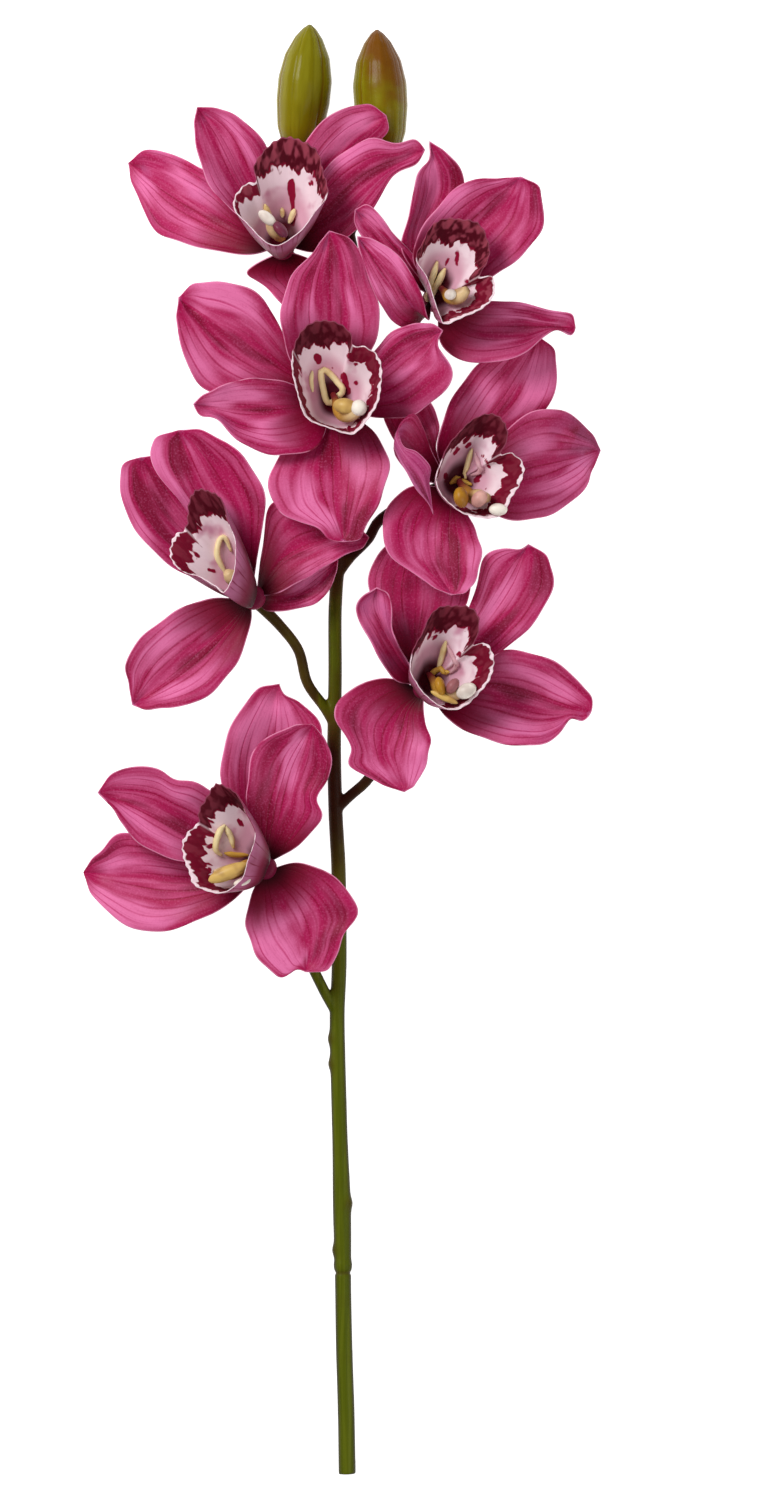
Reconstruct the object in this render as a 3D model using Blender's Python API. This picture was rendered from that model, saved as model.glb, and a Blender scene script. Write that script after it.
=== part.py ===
"""Cut flower spray of a cymbidium orchid: seven open flowers and two buds on one stem.

The spray lies on its back on a flat surface, as it does on a florist's table. +Y runs along
the stem towards the buds, +X to the right and +Z up, towards the faces of the flowers. The
origin is on the surface, under the middle of the spray's length and width. It touches the
surface in three low places: the cut end, and the tips of one petal on each side.

Sizes and places are in millimetres, and MM turns them into metres as a mesh is made.
"""

import math

import bmesh
import bpy
from mathutils import Vector

MM = 0.001

# Driving dimensions
SEAT_GAP = 0.3  # between pieces of different nodes that touch
LIP_SEAT_GAP = 0.85  # above a lip, whose flat facets cut across its curve
BLADE = 0.8  # thickness of a petal or a lip
HUB_RADIUS = 5  # where the petals of one flower grow together
HUB_HEIGHT = 3.4
HUB_FLAT = 0.75  # share of the hub's height at which it is flat, for the stalk below and the lip above
STEM_BASE_RADIUS = 3.5
STEM_TOP_RADIUS = 2.4
PEDICEL_RADIUS = 2.2
STALK_TURN = 2.5  # length over which a stalk straightens before it meets its flower or bud
BUD_STALK_RADII = (2.1, 2.1, 2.3, 3)
CALLUS_RADIUS = 1.15
FOOT_SHIFT = 1.8  # from the throat to the middle of the column's foot
COLUMN_RADII = (1.1, 1.6, 2.6, 2.7, 3.1, 2.8, 1.2)  # from its foot to the anther cap
EDGE_WAVE = 0.5  # how far a petal's margin waves up and down

LIP_SCALLOPS = 7  # waves round a lip's rim

# Mesh divisions
PETAL_ROWS = 9
PETAL_COLUMNS = 4
LIP_ROWS = 5
LIP_COLUMNS = 26
STEM_POINTS = 42
STALK_POINTS = 10
CALLUS_POINTS = 10
COLUMN_POINTS = 10
SAME_POINT = 0.001  # points closer than this are one

# The search for the spot on a lip under a ridge
LIP_SEARCH = (0.12, 0.25, 0.4, 0.55, 0.7)  # heights up the lip at which it starts
LIP_SEARCH_LOW = 0.15  # how strongly it prefers the floor to an overhanging wall

# A petal or sepal is a loft through guide curves that run from its root in the heart of the
# flower to its tip: its left margin, its midrib and its right margin, as seen from above
# looking from root to tip. A folded petal has more rows, to follow its curl.
# A lip is a cup from its throat to a rim, and the rim's points run clockwise from the top.
# A callus is the pale hairpin ridge inside the lip, and a column ends in the anther cap.
FLOWER_1 = dict(
    heart=(-24, 201, 29),
    petals=[
        dict(
            tip=(-86, 236, 0.5),
            left=[(-37, 198, 30), (-56, 201, 24), (-74.5, 208, 12), (-82.7, 224, 4)],
            rib=[(-45, 210, 27), (-66, 225, 14)],
            right=[(-38, 214, 30), (-50, 229, 27), (-66, 238, 16), (-77, 241, 7)],
        ),
        dict(
            tip=(-58, 257, 38),
            left=[(-37, 210, 35), (-52, 224, 39), (-58.5, 242, 40)],
            rib=[(-36, 224, 33), (-47, 245, 35)],
            right=[(-26, 222, 32), (-30, 241, 38), (-43, 254, 39)],
        ),
        dict(
            tip=(18, 254, 28),
            left=[(-22, 224, 30), (-15, 243, 33), (-3, 255, 33), (9, 258, 30)],
            rib=[(-12, 226, 28), (3, 244, 28)],
            right=[(-7, 220, 27), (6, 234, 27), (17, 246, 26)],
        ),
        dict(
            tip=(33.5, 240, 31.5),
            left=[(-14, 222, 32), (-2, 237, 35), (11, 244.5, 36), (21, 242.6, 34.5), (29.5, 243.3, 32.5)],
            rib=[(-6, 214, 31), (12, 229, 33)],
            right=[(-9, 199, 31), (5, 207, 32), (13.6, 218, 33), (20.5, 229.5, 32.5), (29, 234, 31.5)],
        ),
        dict(
            tip=(0, 170, 21),
            left=[(-12, 196, 25), (2, 184, 23)],
            rib=[(-19, 188, 23), (-9, 178, 22)],
            right=[(-38, 192, 26), (-31, 185.5, 25), (-16, 172, 23)],
        ),
    ],
    throat=(-24, 204),
    rim=[
        (-20, 245, 43), (-11, 240, 44), (-7, 231, 47), (-6, 222, 50), (-10, 215, 52),
        (-18, 206, 53), (-25.5, 201, 53), (-34, 206, 53), (-42, 214.5, 52), (-42.5, 221, 51),
        (-38.5, 226, 50), (-34, 227, 48), (-35, 234, 46), (-29.5, 241, 44),
    ],
    callus=[(-30, 217), (-27, 213), (-20.5, 213), (-18, 217)],
    column=[(-25, 205.5, 42), (-27, 208, 47), (-29, 211, 50)],
)
FLOWER_2 = dict(
    heart=(37, 180, 32),
    petals=[
        dict(
            tip=(35, 243.5, 36),
            left=[(24, 199, 33), (27, 215, 35), (30, 230, 35), (35, 236, 34)],
            rib=[(32, 205, 29), (38, 225, 29)],
            right=[(38, 202, 28), (47, 217, 29), (48, 232, 31)],
        ),
        dict(
            tip=(71.5, 229, 43),
            left=[(28, 198, 38), (38, 217, 41), (51, 227.5, 42), (65, 228, 41)],
            rib=[(48, 202, 35), (63, 217, 37)],
            right=[(50, 183, 35), (69, 195, 39), (80, 208, 42), (79, 223, 43)],
        ),
        dict(
            tip=(93.7, 169, 27),
            left=[(46, 178, 31), (61, 179.7, 33), (74, 178.5, 33), (83, 176, 31.5), (91, 174.5, 29)],
            rib=[(52, 171, 30), (72, 170, 29)],
            right=[(40, 161, 33), (55, 154.5, 35), (72, 158, 34), (80.5, 165, 32), (86, 168.3, 31),
                   (91.8, 166, 28.5)],
        ),
        dict(
            tip=(6, 205, 50),
            left=[(29, 168.5, 34), (19.5, 172, 40), (12.2, 184, 47), (7.8, 197, 50)],
            rib=[(29.5, 175, 40), (19.5, 189, 47)],
            right=[(34.8, 171.5, 41), (32.5, 180, 46), (28, 190, 48.5), (21, 198.8, 49.5), (13.5, 203, 50)],
        ),
        dict(
            tip=(5, 216, 37),
            left=[(22, 190, 34), (12, 200, 36), (6, 208, 37)],
            rib=[(25, 196, 32), (14, 208, 35)],
            right=[(30, 196, 33), (21, 206, 36), (12, 217, 38)],
        ),
    ],
    throat=(39, 183),
    rim=[
        (44, 212.5, 50), (54, 210, 50), (59, 202, 50), (58.5, 196, 50), (55, 189, 50),
        (60, 189, 51), (61, 185, 52), (59.5, 179.5, 53), (55, 175, 53), (47.5, 172.5, 53),
        (41, 169.5, 52), (39, 173, 50), (37, 180, 49), (33.5, 189, 49), (30, 196, 49),
        (32, 203, 49), (36, 209, 50),
    ],
    callus=[(37, 185.5), (36.5, 189), (39, 193), (42.5, 191), (42.5, 188)],
    column=[(43.5, 180.5, 43), (46.5, 181, 47), (50, 183.5, 50)],
)
FLOWER_3 = dict(
    heart=(-3, 140, 32),
    petals=[
        dict(
            tip=(-5, 207.5, 45),
            left=[(-19, 153, 38), (-24.5, 171, 43), (-21, 188, 45), (-11, 199, 45)],
            rib=[(-5, 163, 38), (-6, 186, 42)],
            right=[(9, 155, 37), (15.5, 171, 41), (11.5, 187, 43), (6, 201, 44)],
        ),
        dict(
            tip=(-65.5, 181, 31),
            left=[(-22, 143, 33), (-42, 140, 36), (-58, 147, 37), (-65, 164, 37)],
            rib=[(-24, 151, 31), (-46, 166, 32)],
            right=[(-20, 160, 33), (-31, 180, 37), (-45, 187, 37), (-58, 186, 34)],
        ),
        dict(
            tip=(-59.5, 138, 47),
            left=[(-9, 122, 38), (-25, 117.5, 43), (-40.5, 122.5, 46), (-49.5, 131.8, 46),
                  (-56.5, 133.8, 46.5)],
            rib=[(-21, 135, 37), (-41, 135, 41)],
            right=[(-16, 145, 38), (-30, 148.5, 43), (-44, 147, 46), (-54, 142, 47)],
        ),
        dict(
            tip=(0.5, 83, 40),
            left=[(13, 127, 34), (19, 114, 40), (15.5, 100, 43), (11, 91.5, 42.5), (6.5, 84.7, 41)],
            rib=[(-2, 117, 35), (-2, 98, 39)],
            right=[(-20, 124, 33), (-29, 110, 38), (-26.3, 96, 42), (-17.5, 91.3, 42.5), (-9, 88.3, 42),
                   (-4, 84, 41)],
        ),
        dict(
            tip=(40.5, 167.6, 42),
            left=[(8, 153, 34), (18.5, 166, 37), (28, 170.3, 40), (35.5, 169.8, 41.5)],
            rib=[(14, 148, 33), (29, 159, 37)],
            right=[(12, 133, 34), (30, 134.5, 37), (44.5, 149, 41), (38, 161.5, 42)],
        ),
    ],
    throat=(-3, 140),
    rim=[
        (-10, 171.5, 52), (-3, 171, 52), (3.5, 166, 53), (4.5, 161.5, 54), (9, 161, 56),
        (14, 157, 57), (16.3, 151, 57), (15.5, 144, 57), (13.5, 137, 56), (10, 130.5, 55),
        (5, 126.5, 54), (-1, 127, 54), (-8, 129, 54), (-14, 133, 55), (-17.5, 140, 56),
        (-19, 148, 56), (-20, 159, 55), (-16.5, 166, 53),
    ],
    callus=[(-9.5, 152), (-8.5, 148), (-5.5, 146), (-0.5, 147), (-1.5, 150), (-6, 153.5)],
    column=[(0, 134, 44), (4.5, 134.5, 49), (8, 137.5, 52)],
)
FLOWER_4 = dict(
    heart=(44, 106, 30),
    petals=[
        dict(
            tip=(79, 166, 14),
            left=[(38, 118, 31), (41, 134, 30), (51, 151, 26), (66, 162, 21)],
            rib=[(52, 124, 26), (67, 143, 21)],
            right=[(60, 121, 24), (80, 134, 18), (86, 147, 16), (85, 159, 15)],
        ),
        dict(
            tip=(104, 120.5, 0.5),
            left=[(58, 119, 32), (70, 132, 30), (84, 137, 24), (96, 131.5, 12)],
            rib=[(62, 111, 29), (84, 116, 17)],
            right=[(57, 96, 32), (72, 91.5, 28), (88, 96.5, 19), (98, 105.5, 10), (100.3, 113, 4.5)],
        ),
        dict(
            tip=(43.5, 61.8, 41),
            left=[(51, 93, 34), (55.7, 81, 39), (54, 69, 41), (50, 63.8, 41.3)],
            rib=[(37, 92, 34), (36, 77, 38)],
            right=[(26, 105, 33), (16.2, 92, 38), (18.9, 78, 41), (29, 70.2, 42), (37, 65, 41.5)],
        ),
        dict(
            rows=16,
            tip=(36.5, 94, 43),
            left=[(31, 108, 34), (26, 111.5, 37), (21.3, 117, 41), (21, 120.5, 45), (23.5, 114.5, 49),
                  (26, 110.3, 50), (30, 103.5, 49), (34.3, 98.8, 47)],
            rib=[(35, 113, 34.5), (29, 122, 38.5), (23.5, 127, 42.5), (21.3, 124, 47), (25.5, 116, 51.5),
                 (30, 110, 52), (33.5, 103, 50)],
            right=[(36.2, 119, 35), (33, 127.5, 38), (28.5, 134.5, 42), (22.8, 129, 46), (24.5, 121, 49.5),
                   (30, 119, 51), (35.4, 113, 50.5), (34.8, 108, 49.5), (35.4, 101, 48)],
        ),
        dict(
            tip=(20, 143, 22),
            left=[(31, 114, 28), (21, 124, 26), (16.5, 134, 24)],
            rib=[(34, 122, 26), (26, 134, 23)],
            right=[(37.5, 120, 27), (39, 131, 26), (32, 143, 23.5)],
        ),
    ],
    throat=(46, 107),
    rim=[
        (60.5, 134.5, 47), (65, 131, 48), (66, 124, 49), (63.5, 118, 50), (68, 118.5, 51),
        (72.5, 113, 52), (71.5, 106, 52), (67, 100, 51), (65, 94.5, 50), (60, 92, 50),
        (53, 93.5, 50), (47, 95, 50), (42, 99, 50), (38.5, 105, 51), (37.5, 110, 51),
        (40, 116, 50), (45, 125, 49), (51, 131, 48),
    ],
    callus=[(52, 124), (50, 117), (49.5, 112), (53.5, 113), (56, 118)],
    column=[(51, 101.5, 42), (54.5, 101, 46), (58.5, 100.5, 49)],
)
FLOWER_5 = dict(
    heart=(-35.5, 61, 31),
    petals=[
        dict(
            tip=(-80.5, 117.3, 31),
            left=[(-50, 65, 32), (-70, 74.5, 32), (-84, 90, 32), (-88.8, 104, 32), (-86.5, 114, 31.5)],
            rib=[(-52, 78, 27.5), (-71, 98, 28)],
            right=[(-41, 83, 28), (-52, 103, 27.5), (-66, 116, 28.5)],
        ),
        dict(
            tip=(-65, 128, 40),
            left=[(-51, 80, 31.5), (-64, 98, 35.5), (-76, 114, 38), (-75, 123, 39)],
            rib=[(-46, 85, 32), (-57, 108, 36)],
            right=[(-33, 82, 36), (-30.5, 100, 40.5), (-38, 116, 42), (-52, 126, 42)],
        ),
        dict(
            tip=(11, 85, 32),
            left=[(-32, 80, 33), (-28, 99, 35), (-13, 100, 35), (2, 92.5, 33)],
            rib=[(-22, 79, 30), (-5, 86, 30)],
            right=[(-26, 62.5, 34), (-10, 71, 35), (-0.5, 77, 33.5), (7, 80.5, 32.5)],
        ),
        dict(
            tip=(-1.5, 76, 27),
            left=[(-24, 70, 28), (-10, 80, 27)],
            rib=[(-20, 63, 26), (-8, 71, 26)],
            right=[(-30, 55.5, 29), (-16, 56.8, 29), (-8, 60.3, 28.5), (-3.6, 67, 28)],
        ),
        dict(
            tip=(-84, 17.8, 34),
            left=[(-36.5, 50, 31), (-43, 33, 33), (-57, 19.5, 36), (-75, 16.5, 36)],
            rib=[(-50, 47, 30), (-70, 30, 32)],
            right=[(-54, 60.5, 34), (-70, 53.5, 36), (-82.5, 42.5, 37), (-86.8, 33.5, 36.5),
                   (-84.6, 25.5, 35.5)],
        ),
    ],
    throat=(-37, 63.5),
    rim=[
        (-56, 105.5, 45), (-51, 102, 48), (-47, 97, 51), (-45, 90, 54), (-42.7, 83, 56),
        (-42.3, 76, 56), (-44, 69, 55), (-47, 62.5, 53), (-51, 66, 50.5), (-56.5, 69, 48),
        (-62, 70.5, 46.5), (-66.5, 74, 46), (-69, 79, 45), (-67, 85.5, 44), (-62.5, 88.5, 44),
        (-61.5, 98, 43), (-59, 103, 43),
    ],
    callus=[(-54, 84), (-51.5, 79.5), (-47.5, 78), (-49.5, 84), (-52, 88)],
    column=[(-41.5, 67, 41), (-44, 69, 43.5), (-46, 71, 45.5)],
)
FLOWER_6 = dict(
    heart=(33, 25, 30),
    petals=[
        dict(
            tip=(31, 86, 29),
            left=[(20, 44, 29), (12, 60, 31), (11, 72, 31), (18, 82, 30)],
            rib=[(28, 48, 27), (28, 68, 28)],
            right=[(40, 48, 28), (51, 60, 30), (48, 76, 30)],
        ),
        dict(
            tip=(74.5, 82.5, 38),
            left=[(44, 44, 34), (52, 60, 36), (56.5, 76.5, 37), (63, 80.5, 37), (71, 79.8, 37.5)],
            rib=[(52, 45, 32), (66, 64, 34)],
            right=[(60, 37, 33), (76, 50, 36), (84.5, 65, 38), (82, 76, 38)],
        ),
        dict(
            tip=(99.6, 14.5, 30),
            left=[(54, 37, 31), (67, 40, 32), (82, 37, 32), (94, 28.5, 30.5), (99.8, 19, 30)],
            rib=[(60, 23, 29), (84, 17, 27)],
            right=[(42, 12.5, 33), (58, 4, 37), (77, 1.5, 38), (86.5, 6, 35), (91.5, 12.8, 32.5),
                   (96.5, 11.8, 30.5)],
        ),
        dict(
            tip=(25, -17, 34),
            left=[(33, 13, 32), (35.5, 3, 35), (32, -10, 35)],
            rib=[(23, 16, 31), (17, 0, 33)],
            right=[(17, 29, 33), (0, 22, 36), (-2.9, 13.5, 36.5), (1.3, 5.5, 36), (3.7, 0, 35),
                   (2.6, -6, 34), (12, -11.7, 34)],
        ),
        dict(
            tip=(14, 65, 43),
            left=[(21, 28, 37), (12, 42, 43), (5.5, 57, 44)],
            rib=[(24, 35, 33), (16, 49, 35), (12, 58, 38)],
            right=[(26, 36, 36), (20.5, 47, 43), (19.5, 60, 43)],
        ),
    ],
    throat=(35, 28),
    rim=[
        (43, 58, 46), (50, 57.5, 47), (54.5, 53, 48), (54.5, 46, 49), (52.5, 42, 50),
        (57.5, 42.5, 51), (61, 37, 52), (60, 31, 52), (56, 24, 51), (51.5, 19, 50),
        (45, 16.5, 50), (38.5, 17.5, 50), (34, 21.5, 50), (30, 27, 51), (27, 31.5, 51),
        (28, 38, 51), (31.5, 46, 50), (34.5, 52.5, 48), (38.5, 56.5, 47),
    ],
    callus=[(42, 45), (41, 40), (39, 34.5), (42.5, 34.5), (45, 38)],
    column=[(40, 23, 42), (44, 22.5, 46), (48.5, 23, 49)],
)
FLOWER_7 = dict(
    heart=(-31, -47, 29),
    petals=[
        dict(
            tip=(-98, -17, 32),
            left=[(-50, -45, 33), (-64, -44.5, 37), (-79, -39, 38), (-88, -29.5, 37), (-92, -22.3, 35)],
            rib=[(-56, -34, 31), (-77, -23, 31)],
            right=[(-46, -22, 34), (-57, -13.5, 36), (-66.5, -11.6, 36.5), (-74, -7.2, 36), (-88, -7.5, 35)],
        ),
        dict(
            tip=(-104, -49, 16),
            left=[(-42, -59, 29), (-58, -68.5, 28), (-79, -73, 25), (-96, -63, 20)],
            rib=[(-56, -52, 25), (-82, -50, 20)],
            right=[(-48, -43, 26), (-68, -37, 24), (-88, -33, 22), (-97, -41, 19)],
        ),
        dict(
            tip=(-25, 26.7, 28),
            left=[(-44, -26, 29), (-48.5, -11, 31), (-46, 6, 31), (-36, 22, 30)],
            rib=[(-32, -19, 26), (-29, 5, 26)],
            right=[(-19, -16, 25), (-8.5, -3, 26), (-8.5, 10, 27), (-16, 18.5, 28), (-23.4, 22, 28)],
        ),
        dict(
            tip=(-11.5, 10.5, 37),
            left=[(-37, -28, 32.6), (-38, -13, 37), (-34, 2, 39), (-22, 8.5, 39)],
            rib=[(-25, -29, 32), (-19, -8, 33)],
            right=[(-17, -38, 33), (-8, -27, 35), (-9.8, -19.5, 36), (-5.5, -11, 36.5), (-4, -2, 37)],
        ),
        dict(
            tip=(-14.5, -89, 32),
            left=[(-16, -45, 30), (0, -53, 33), (6.3, -65, 34), (0.8, -74, 34), (-2, -82, 34),
                  (-6, -87.5, 33)],
            rib=[(-21, -60, 30), (-14, -75, 31)],
            right=[(-36, -57, 31), (-38.5, -70, 34), (-34, -82.5, 34), (-25, -91, 34), (-18, -87.5, 33)],
        ),
    ],
    throat=(-33, -45),
    rim=[
        (-50, -13, 43), (-44.5, -15.5, 46), (-40, -21, 49), (-37, -27, 51), (-35, -33, 53),
        (-35.5, -39, 54), (-38, -45, 54), (-40.5, -52, 52), (-46, -56.5, 50), (-54, -56, 48),
        (-59.5, -54, 47), (-61, -48, 46), (-63.5, -42.5, 45), (-64, -37, 44), (-61, -32.5, 44),
        (-57.5, -29, 43), (-57.5, -24, 43), (-54, -19, 43),
    ],
    callus=[(-52, -35), (-50, -40), (-47, -30), (-43.5, -38), (-46, -41)],
    column=[(-41, -48, 41), (-46, -49, 44.5), (-51, -49.5, 46.5)],
)
FLOWERS = (FLOWER_1, FLOWER_2, FLOWER_3, FLOWER_4, FLOWER_5, FLOWER_6, FLOWER_7)

BUDS = (
    dict(base=(-18, 239, 12), tip=(-13, 291, 14)),
    dict(base=(17, 237, 12), tip=(14, 289, 13)),
)
# Along a bud, from base to tip: the share of its length and the radius there
BUD_PROFILE = (
    (0, 3.6), (0.07, 6.6), (0.2, 9.2), (0.4, 10.6), (0.58, 10.7), (0.76, 8.9), (0.9, 5.4), (1, 1.2),
)
BUD_SIDES = 12
BUD_RIDGE = 0.05  # share of the radius by which the three sepals stand proud

# The stem's middle line from the cut end up to where the bud stalks fork, and its radii
STEM_LINE = (
    (2, -291, 3.6), (1.6, -266, 3.7), (0.8, -240, 4), (0.3, -212, 4.3), (0.3, -207, 4.4),
    (-0.2, -180, 4.9), (-1.2, -145, 5.6), (-2, -108, 6.6), (-1.2, -86, 7.4), (-1.4, -50, 9),
    (-2.6, -26, 10.2), (-3.2, 0, 11.4), (-2.8, 30, 12.8), (-2.8, 56, 14), (-1.5, 76, 15),
    (0, 100, 16), (3, 130, 16), (6, 165, 15.5), (5, 195, 15), (0, 218, 14),
)
NODE_RING_AT = 4
NODE_RING_BULGE = 1.13
PEDICELS = (
    dict(flower=1, line=((4, 172, 15.5), (-6, 184, 18), (-19, 196, 21))),
    dict(flower=2, line=((3, 140, 16), (14, 155, 18), (29, 172, 23))),
    dict(flower=3, line=((-0.5, 98, 16), (-3, 117, 19), (-4, 133, 23))),
    dict(flower=4, line=((-2, 70, 14.7), (3, 77, 15), (10.4, 84.5, 16), (16, 93, 18), (33, 103, 21.5))),
    dict(
        flower=5,
        line=((-3, 10, 12), (-7, 17, 13), (-14, 27, 15), (-17.5, 40, 17.5), (-25, 50, 20), (-33, 58, 22.5)),
    ),
    dict(flower=6, line=((-2.5, -24, 10.3), (3, -18.5, 12), (11, -11, 14.5), (21, 5, 18), (29, 19, 21.5))),
    dict(flower=7, line=((-2, -106, 6.8), (-6, -99, 9), (-11, -89, 12), (-20, -70, 16), (-28, -54, 20))),
)
BUD_STALKS = (
    ((3, 207, 14.5), (-7, 220, 13.5), (-15, 231, 12.5)),
    ((3, 207, 14.5), (9, 219, 13.5), (15, 228, 12.5)),
)

# Colours are linear RGB, as the shader takes them.
MAGENTA = (0.42, 0.022, 0.12)
LIP_PINK = (0.50, 0.27, 0.33)
CALLUS_YELLOW = (0.66, 0.42, 0.13)
COLUMN_CREAM = (0.72, 0.62, 0.45)
STEM_GREEN = (0.075, 0.09, 0.008)
BUD_GREEN = (0.20, 0.18, 0.012)


def clear_scene():
    for thing in list(bpy.data.objects):
        bpy.data.objects.remove(thing)


def material(name, colour, roughness):
    made = bpy.data.materials.new(name)
    made.use_nodes = True
    shader = made.node_tree.nodes["Principled BSDF"]
    shader.inputs["Base Color"].default_value = (*colour, 1)
    shader.inputs["Roughness"].default_value = roughness
    shader.inputs["Metallic"].default_value = 0
    return made


def hermite(start, end, leave, arrive, share):
    """A point on the cubic from start to end with those two tangents."""
    a = 2 * share**3 - 3 * share**2 + 1
    b = share**3 - 2 * share**2 + share
    c = -2 * share**3 + 3 * share**2
    d = share**3 - share**2
    return start * a + leave * b + end * c + arrive * d


def along(points, share, closed=False):
    """The point at a share of the way along the smooth curve through points."""
    knots = [Vector(point) for point in points]
    count = len(knots)
    spans = count if closed else count - 1
    lengths = [(knots[(i + 1) % count] - knots[i]).length for i in range(spans)]
    target = share * sum(lengths)
    span = 0
    while span < spans - 1 and target > lengths[span]:
        target -= lengths[span]
        span += 1
    here, there = knots[span], knots[(span + 1) % count]
    before = knots[span - 1] if closed or span > 0 else here * 2 - there
    after = knots[(span + 2) % count] if closed or span < spans - 1 else there * 2 - here
    return hermite(here, there, (there - before) / 2, (after - here) / 2, target / lengths[span])


def across(guides, place):
    """The point at place, 0 to 1, from the first guide point to the last, through all of them."""
    step = place * (len(guides) - 1)
    span = min(int(step), len(guides) - 2)
    here, there = guides[span], guides[span + 1]
    before = guides[span - 1] if span > 0 else here * 2 - there
    after = guides[span + 2] if span + 2 < len(guides) else there * 2 - here
    return hermite(here, there, (there - before) / 2, (after - here) / 2, step - span)


def petal_point(flower, petal, up, side):
    """A point of a petal: up runs 0 to 1 from root to tip, side 0 to 1 from left to right."""
    root = Vector(flower["heart"])
    tip = Vector(petal["tip"])
    root += (tip - root).normalized() * HUB_RADIUS / 4
    guides = [along([root, *petal[line], tip], up) for line in ("left", "rib", "right")]
    point = across(guides, side)
    margin = abs(2 * side - 1) ** 3 * math.sin(math.pi * up)
    point.z += EDGE_WAVE * margin * math.sin(14 * up + petal["tip"][0])
    return point


def lip_point(flower, up, around):
    """A point of a lip: up runs 0 to 1 from throat to rim, around 0 to 1 clockwise from the top."""
    throat = Vector((*flower["throat"], flower["heart"][2] + HUB_FLAT * HUB_HEIGHT + SEAT_GAP + 0.6 * BLADE))
    rim = flower["rim"]
    mouth = sum((Vector(point) for point in rim), Vector()) / len(rim)
    spread = 0.8 * math.sin(math.pi / 2 * up) ** 0.7 + 0.2 * up**4
    ruffle = 1 + 0.035 * up**3 * math.cos(2 * math.pi * LIP_SCALLOPS * around)
    centre = throat.lerp(mouth, up**1.5)
    return centre + (along(rim, around, closed=True) - mouth) * spread * ruffle


def lip_spot(flower, x, y):
    """Where the lip's floor passes under the point x, y, and its normal there."""
    target = Vector((x, y))
    tries = [(up, i / LIP_COLUMNS) for up in LIP_SEARCH for i in range(LIP_COLUMNS)]

    def miss_of(place):
        point = lip_point(flower, *place)
        return (point.xy - target).length + LIP_SEARCH_LOW * point.z

    up, around = min(tries, key=miss_of)
    step = 0.001
    for _ in range(8):
        here = lip_point(flower, up, around)
        along_up = (lip_point(flower, up + step, around) - here) / step
        along_rim = (lip_point(flower, up, (around + step) % 1) - here) / step
        miss = target - here.xy
        area = along_up.xy.cross(along_rim.xy)
        up += min(max(miss.cross(along_rim.xy) / area, -0.1), 0.1)
        around += min(max(along_up.xy.cross(miss) / area, -0.03), 0.03)
        up = min(max(up, 0.02), 0.9)
        around %= 1
    normal = along_up.cross(along_rim).normalized()
    return here, normal if normal.z > 0 else -normal


def new_object(name, mesh, finish):
    if isinstance(mesh, bpy.types.Mesh):
        mesh.shade_smooth()
    mesh.materials.append(finish)
    made = bpy.data.objects.new(name, mesh)
    bpy.context.scene.collection.objects.link(made)
    return made


def sheet(name, rows, columns, place, finish):
    """A thin closed solid whose middle surface is place(up, side), on a grid of triangles."""
    shape = bmesh.new()
    bmesh.ops.create_grid(shape, x_segments=columns, y_segments=rows, size=1)
    for vertex in shape.verts:
        side, up = (vertex.co.x + 1) / 2, (vertex.co.y + 1) / 2
        vertex.co = place(up, side) * MM
    bmesh.ops.remove_doubles(shape, verts=shape.verts, dist=SAME_POINT * MM)
    bmesh.ops.triangulate(shape, faces=shape.faces, quad_method="FIXED")
    mesh = bpy.data.meshes.new(name)
    shape.to_mesh(mesh)
    shape.free()
    made = new_object(name, mesh, finish)
    wall = made.modifiers.new("Thickness", "SOLIDIFY")
    wall.thickness = BLADE * MM
    wall.offset = 0
    return made


def smooth(line, count):
    """That many points, evenly spaced along the smooth curve through line."""
    return [along(line, i / (count - 1)) for i in range(count)]


def round_bar(name, line, radii, finish, sides=8):
    """A round bar through the points of line, with its radius running through radii."""
    count = len(line)
    curve = bpy.data.curves.new(name, "CURVE")
    curve.dimensions = "3D"
    curve.bevel_depth = MM
    curve.bevel_resolution = sides // 2 - 2
    curve.use_fill_caps = True
    spline = curve.splines.new("POLY")
    spline.points.add(count - 1)
    marks = [Vector((radius, 0, 0)) for radius in radii]
    for i, point in enumerate(spline.points):
        point.co = (*(line[i] * MM), 1)
        point.radius = across(marks, i / (count - 1)).x
    return new_object(name, curve, finish)


def as_mesh(thing):
    bpy.ops.object.select_all(action="DESELECT")
    thing.select_set(True)
    bpy.context.view_layer.objects.active = thing
    bpy.ops.object.convert(target="MESH")
    return thing


def drop_scraps(body):
    """Removes the loose crumbs that a Boolean leaves where two thin blades graze each other."""
    shape = bmesh.new()
    shape.from_mesh(body.data)
    waiting = set(shape.verts)
    islands = []
    while waiting:
        island = {waiting.pop()}
        edge = set(island)
        while edge:
            edge = {link.other_vert(vertex) for vertex in edge for link in vertex.link_edges} - island
            island |= edge
        waiting -= island
        islands.append(island)
    islands.sort(key=len)
    for island in islands[:-1]:
        bmesh.ops.delete(shape, geom=list(island), context="VERTS")
    shape.to_mesh(body.data)
    shape.free()


def joined(name, body, others):
    """Unites body with the others by one Boolean and removes them."""
    repeats = bpy.data.collections.new(name + " pieces")
    bpy.context.scene.collection.children.link(repeats)
    for other in others:
        bpy.context.scene.collection.objects.unlink(other)
        repeats.objects.link(other)
    union = body.modifiers.new("Join", "BOOLEAN")
    union.operation = "UNION"
    union.operand_type = "COLLECTION"
    union.collection = repeats
    union.solver = "EXACT"
    union.use_self = True
    bpy.context.view_layer.objects.active = body
    for modifier in list(body.modifiers):
        bpy.ops.object.modifier_apply(modifier=modifier.name)
    for other in others:
        bpy.data.objects.remove(other)
    bpy.data.collections.remove(repeats)
    drop_scraps(body)
    body.name = name
    return body


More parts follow.
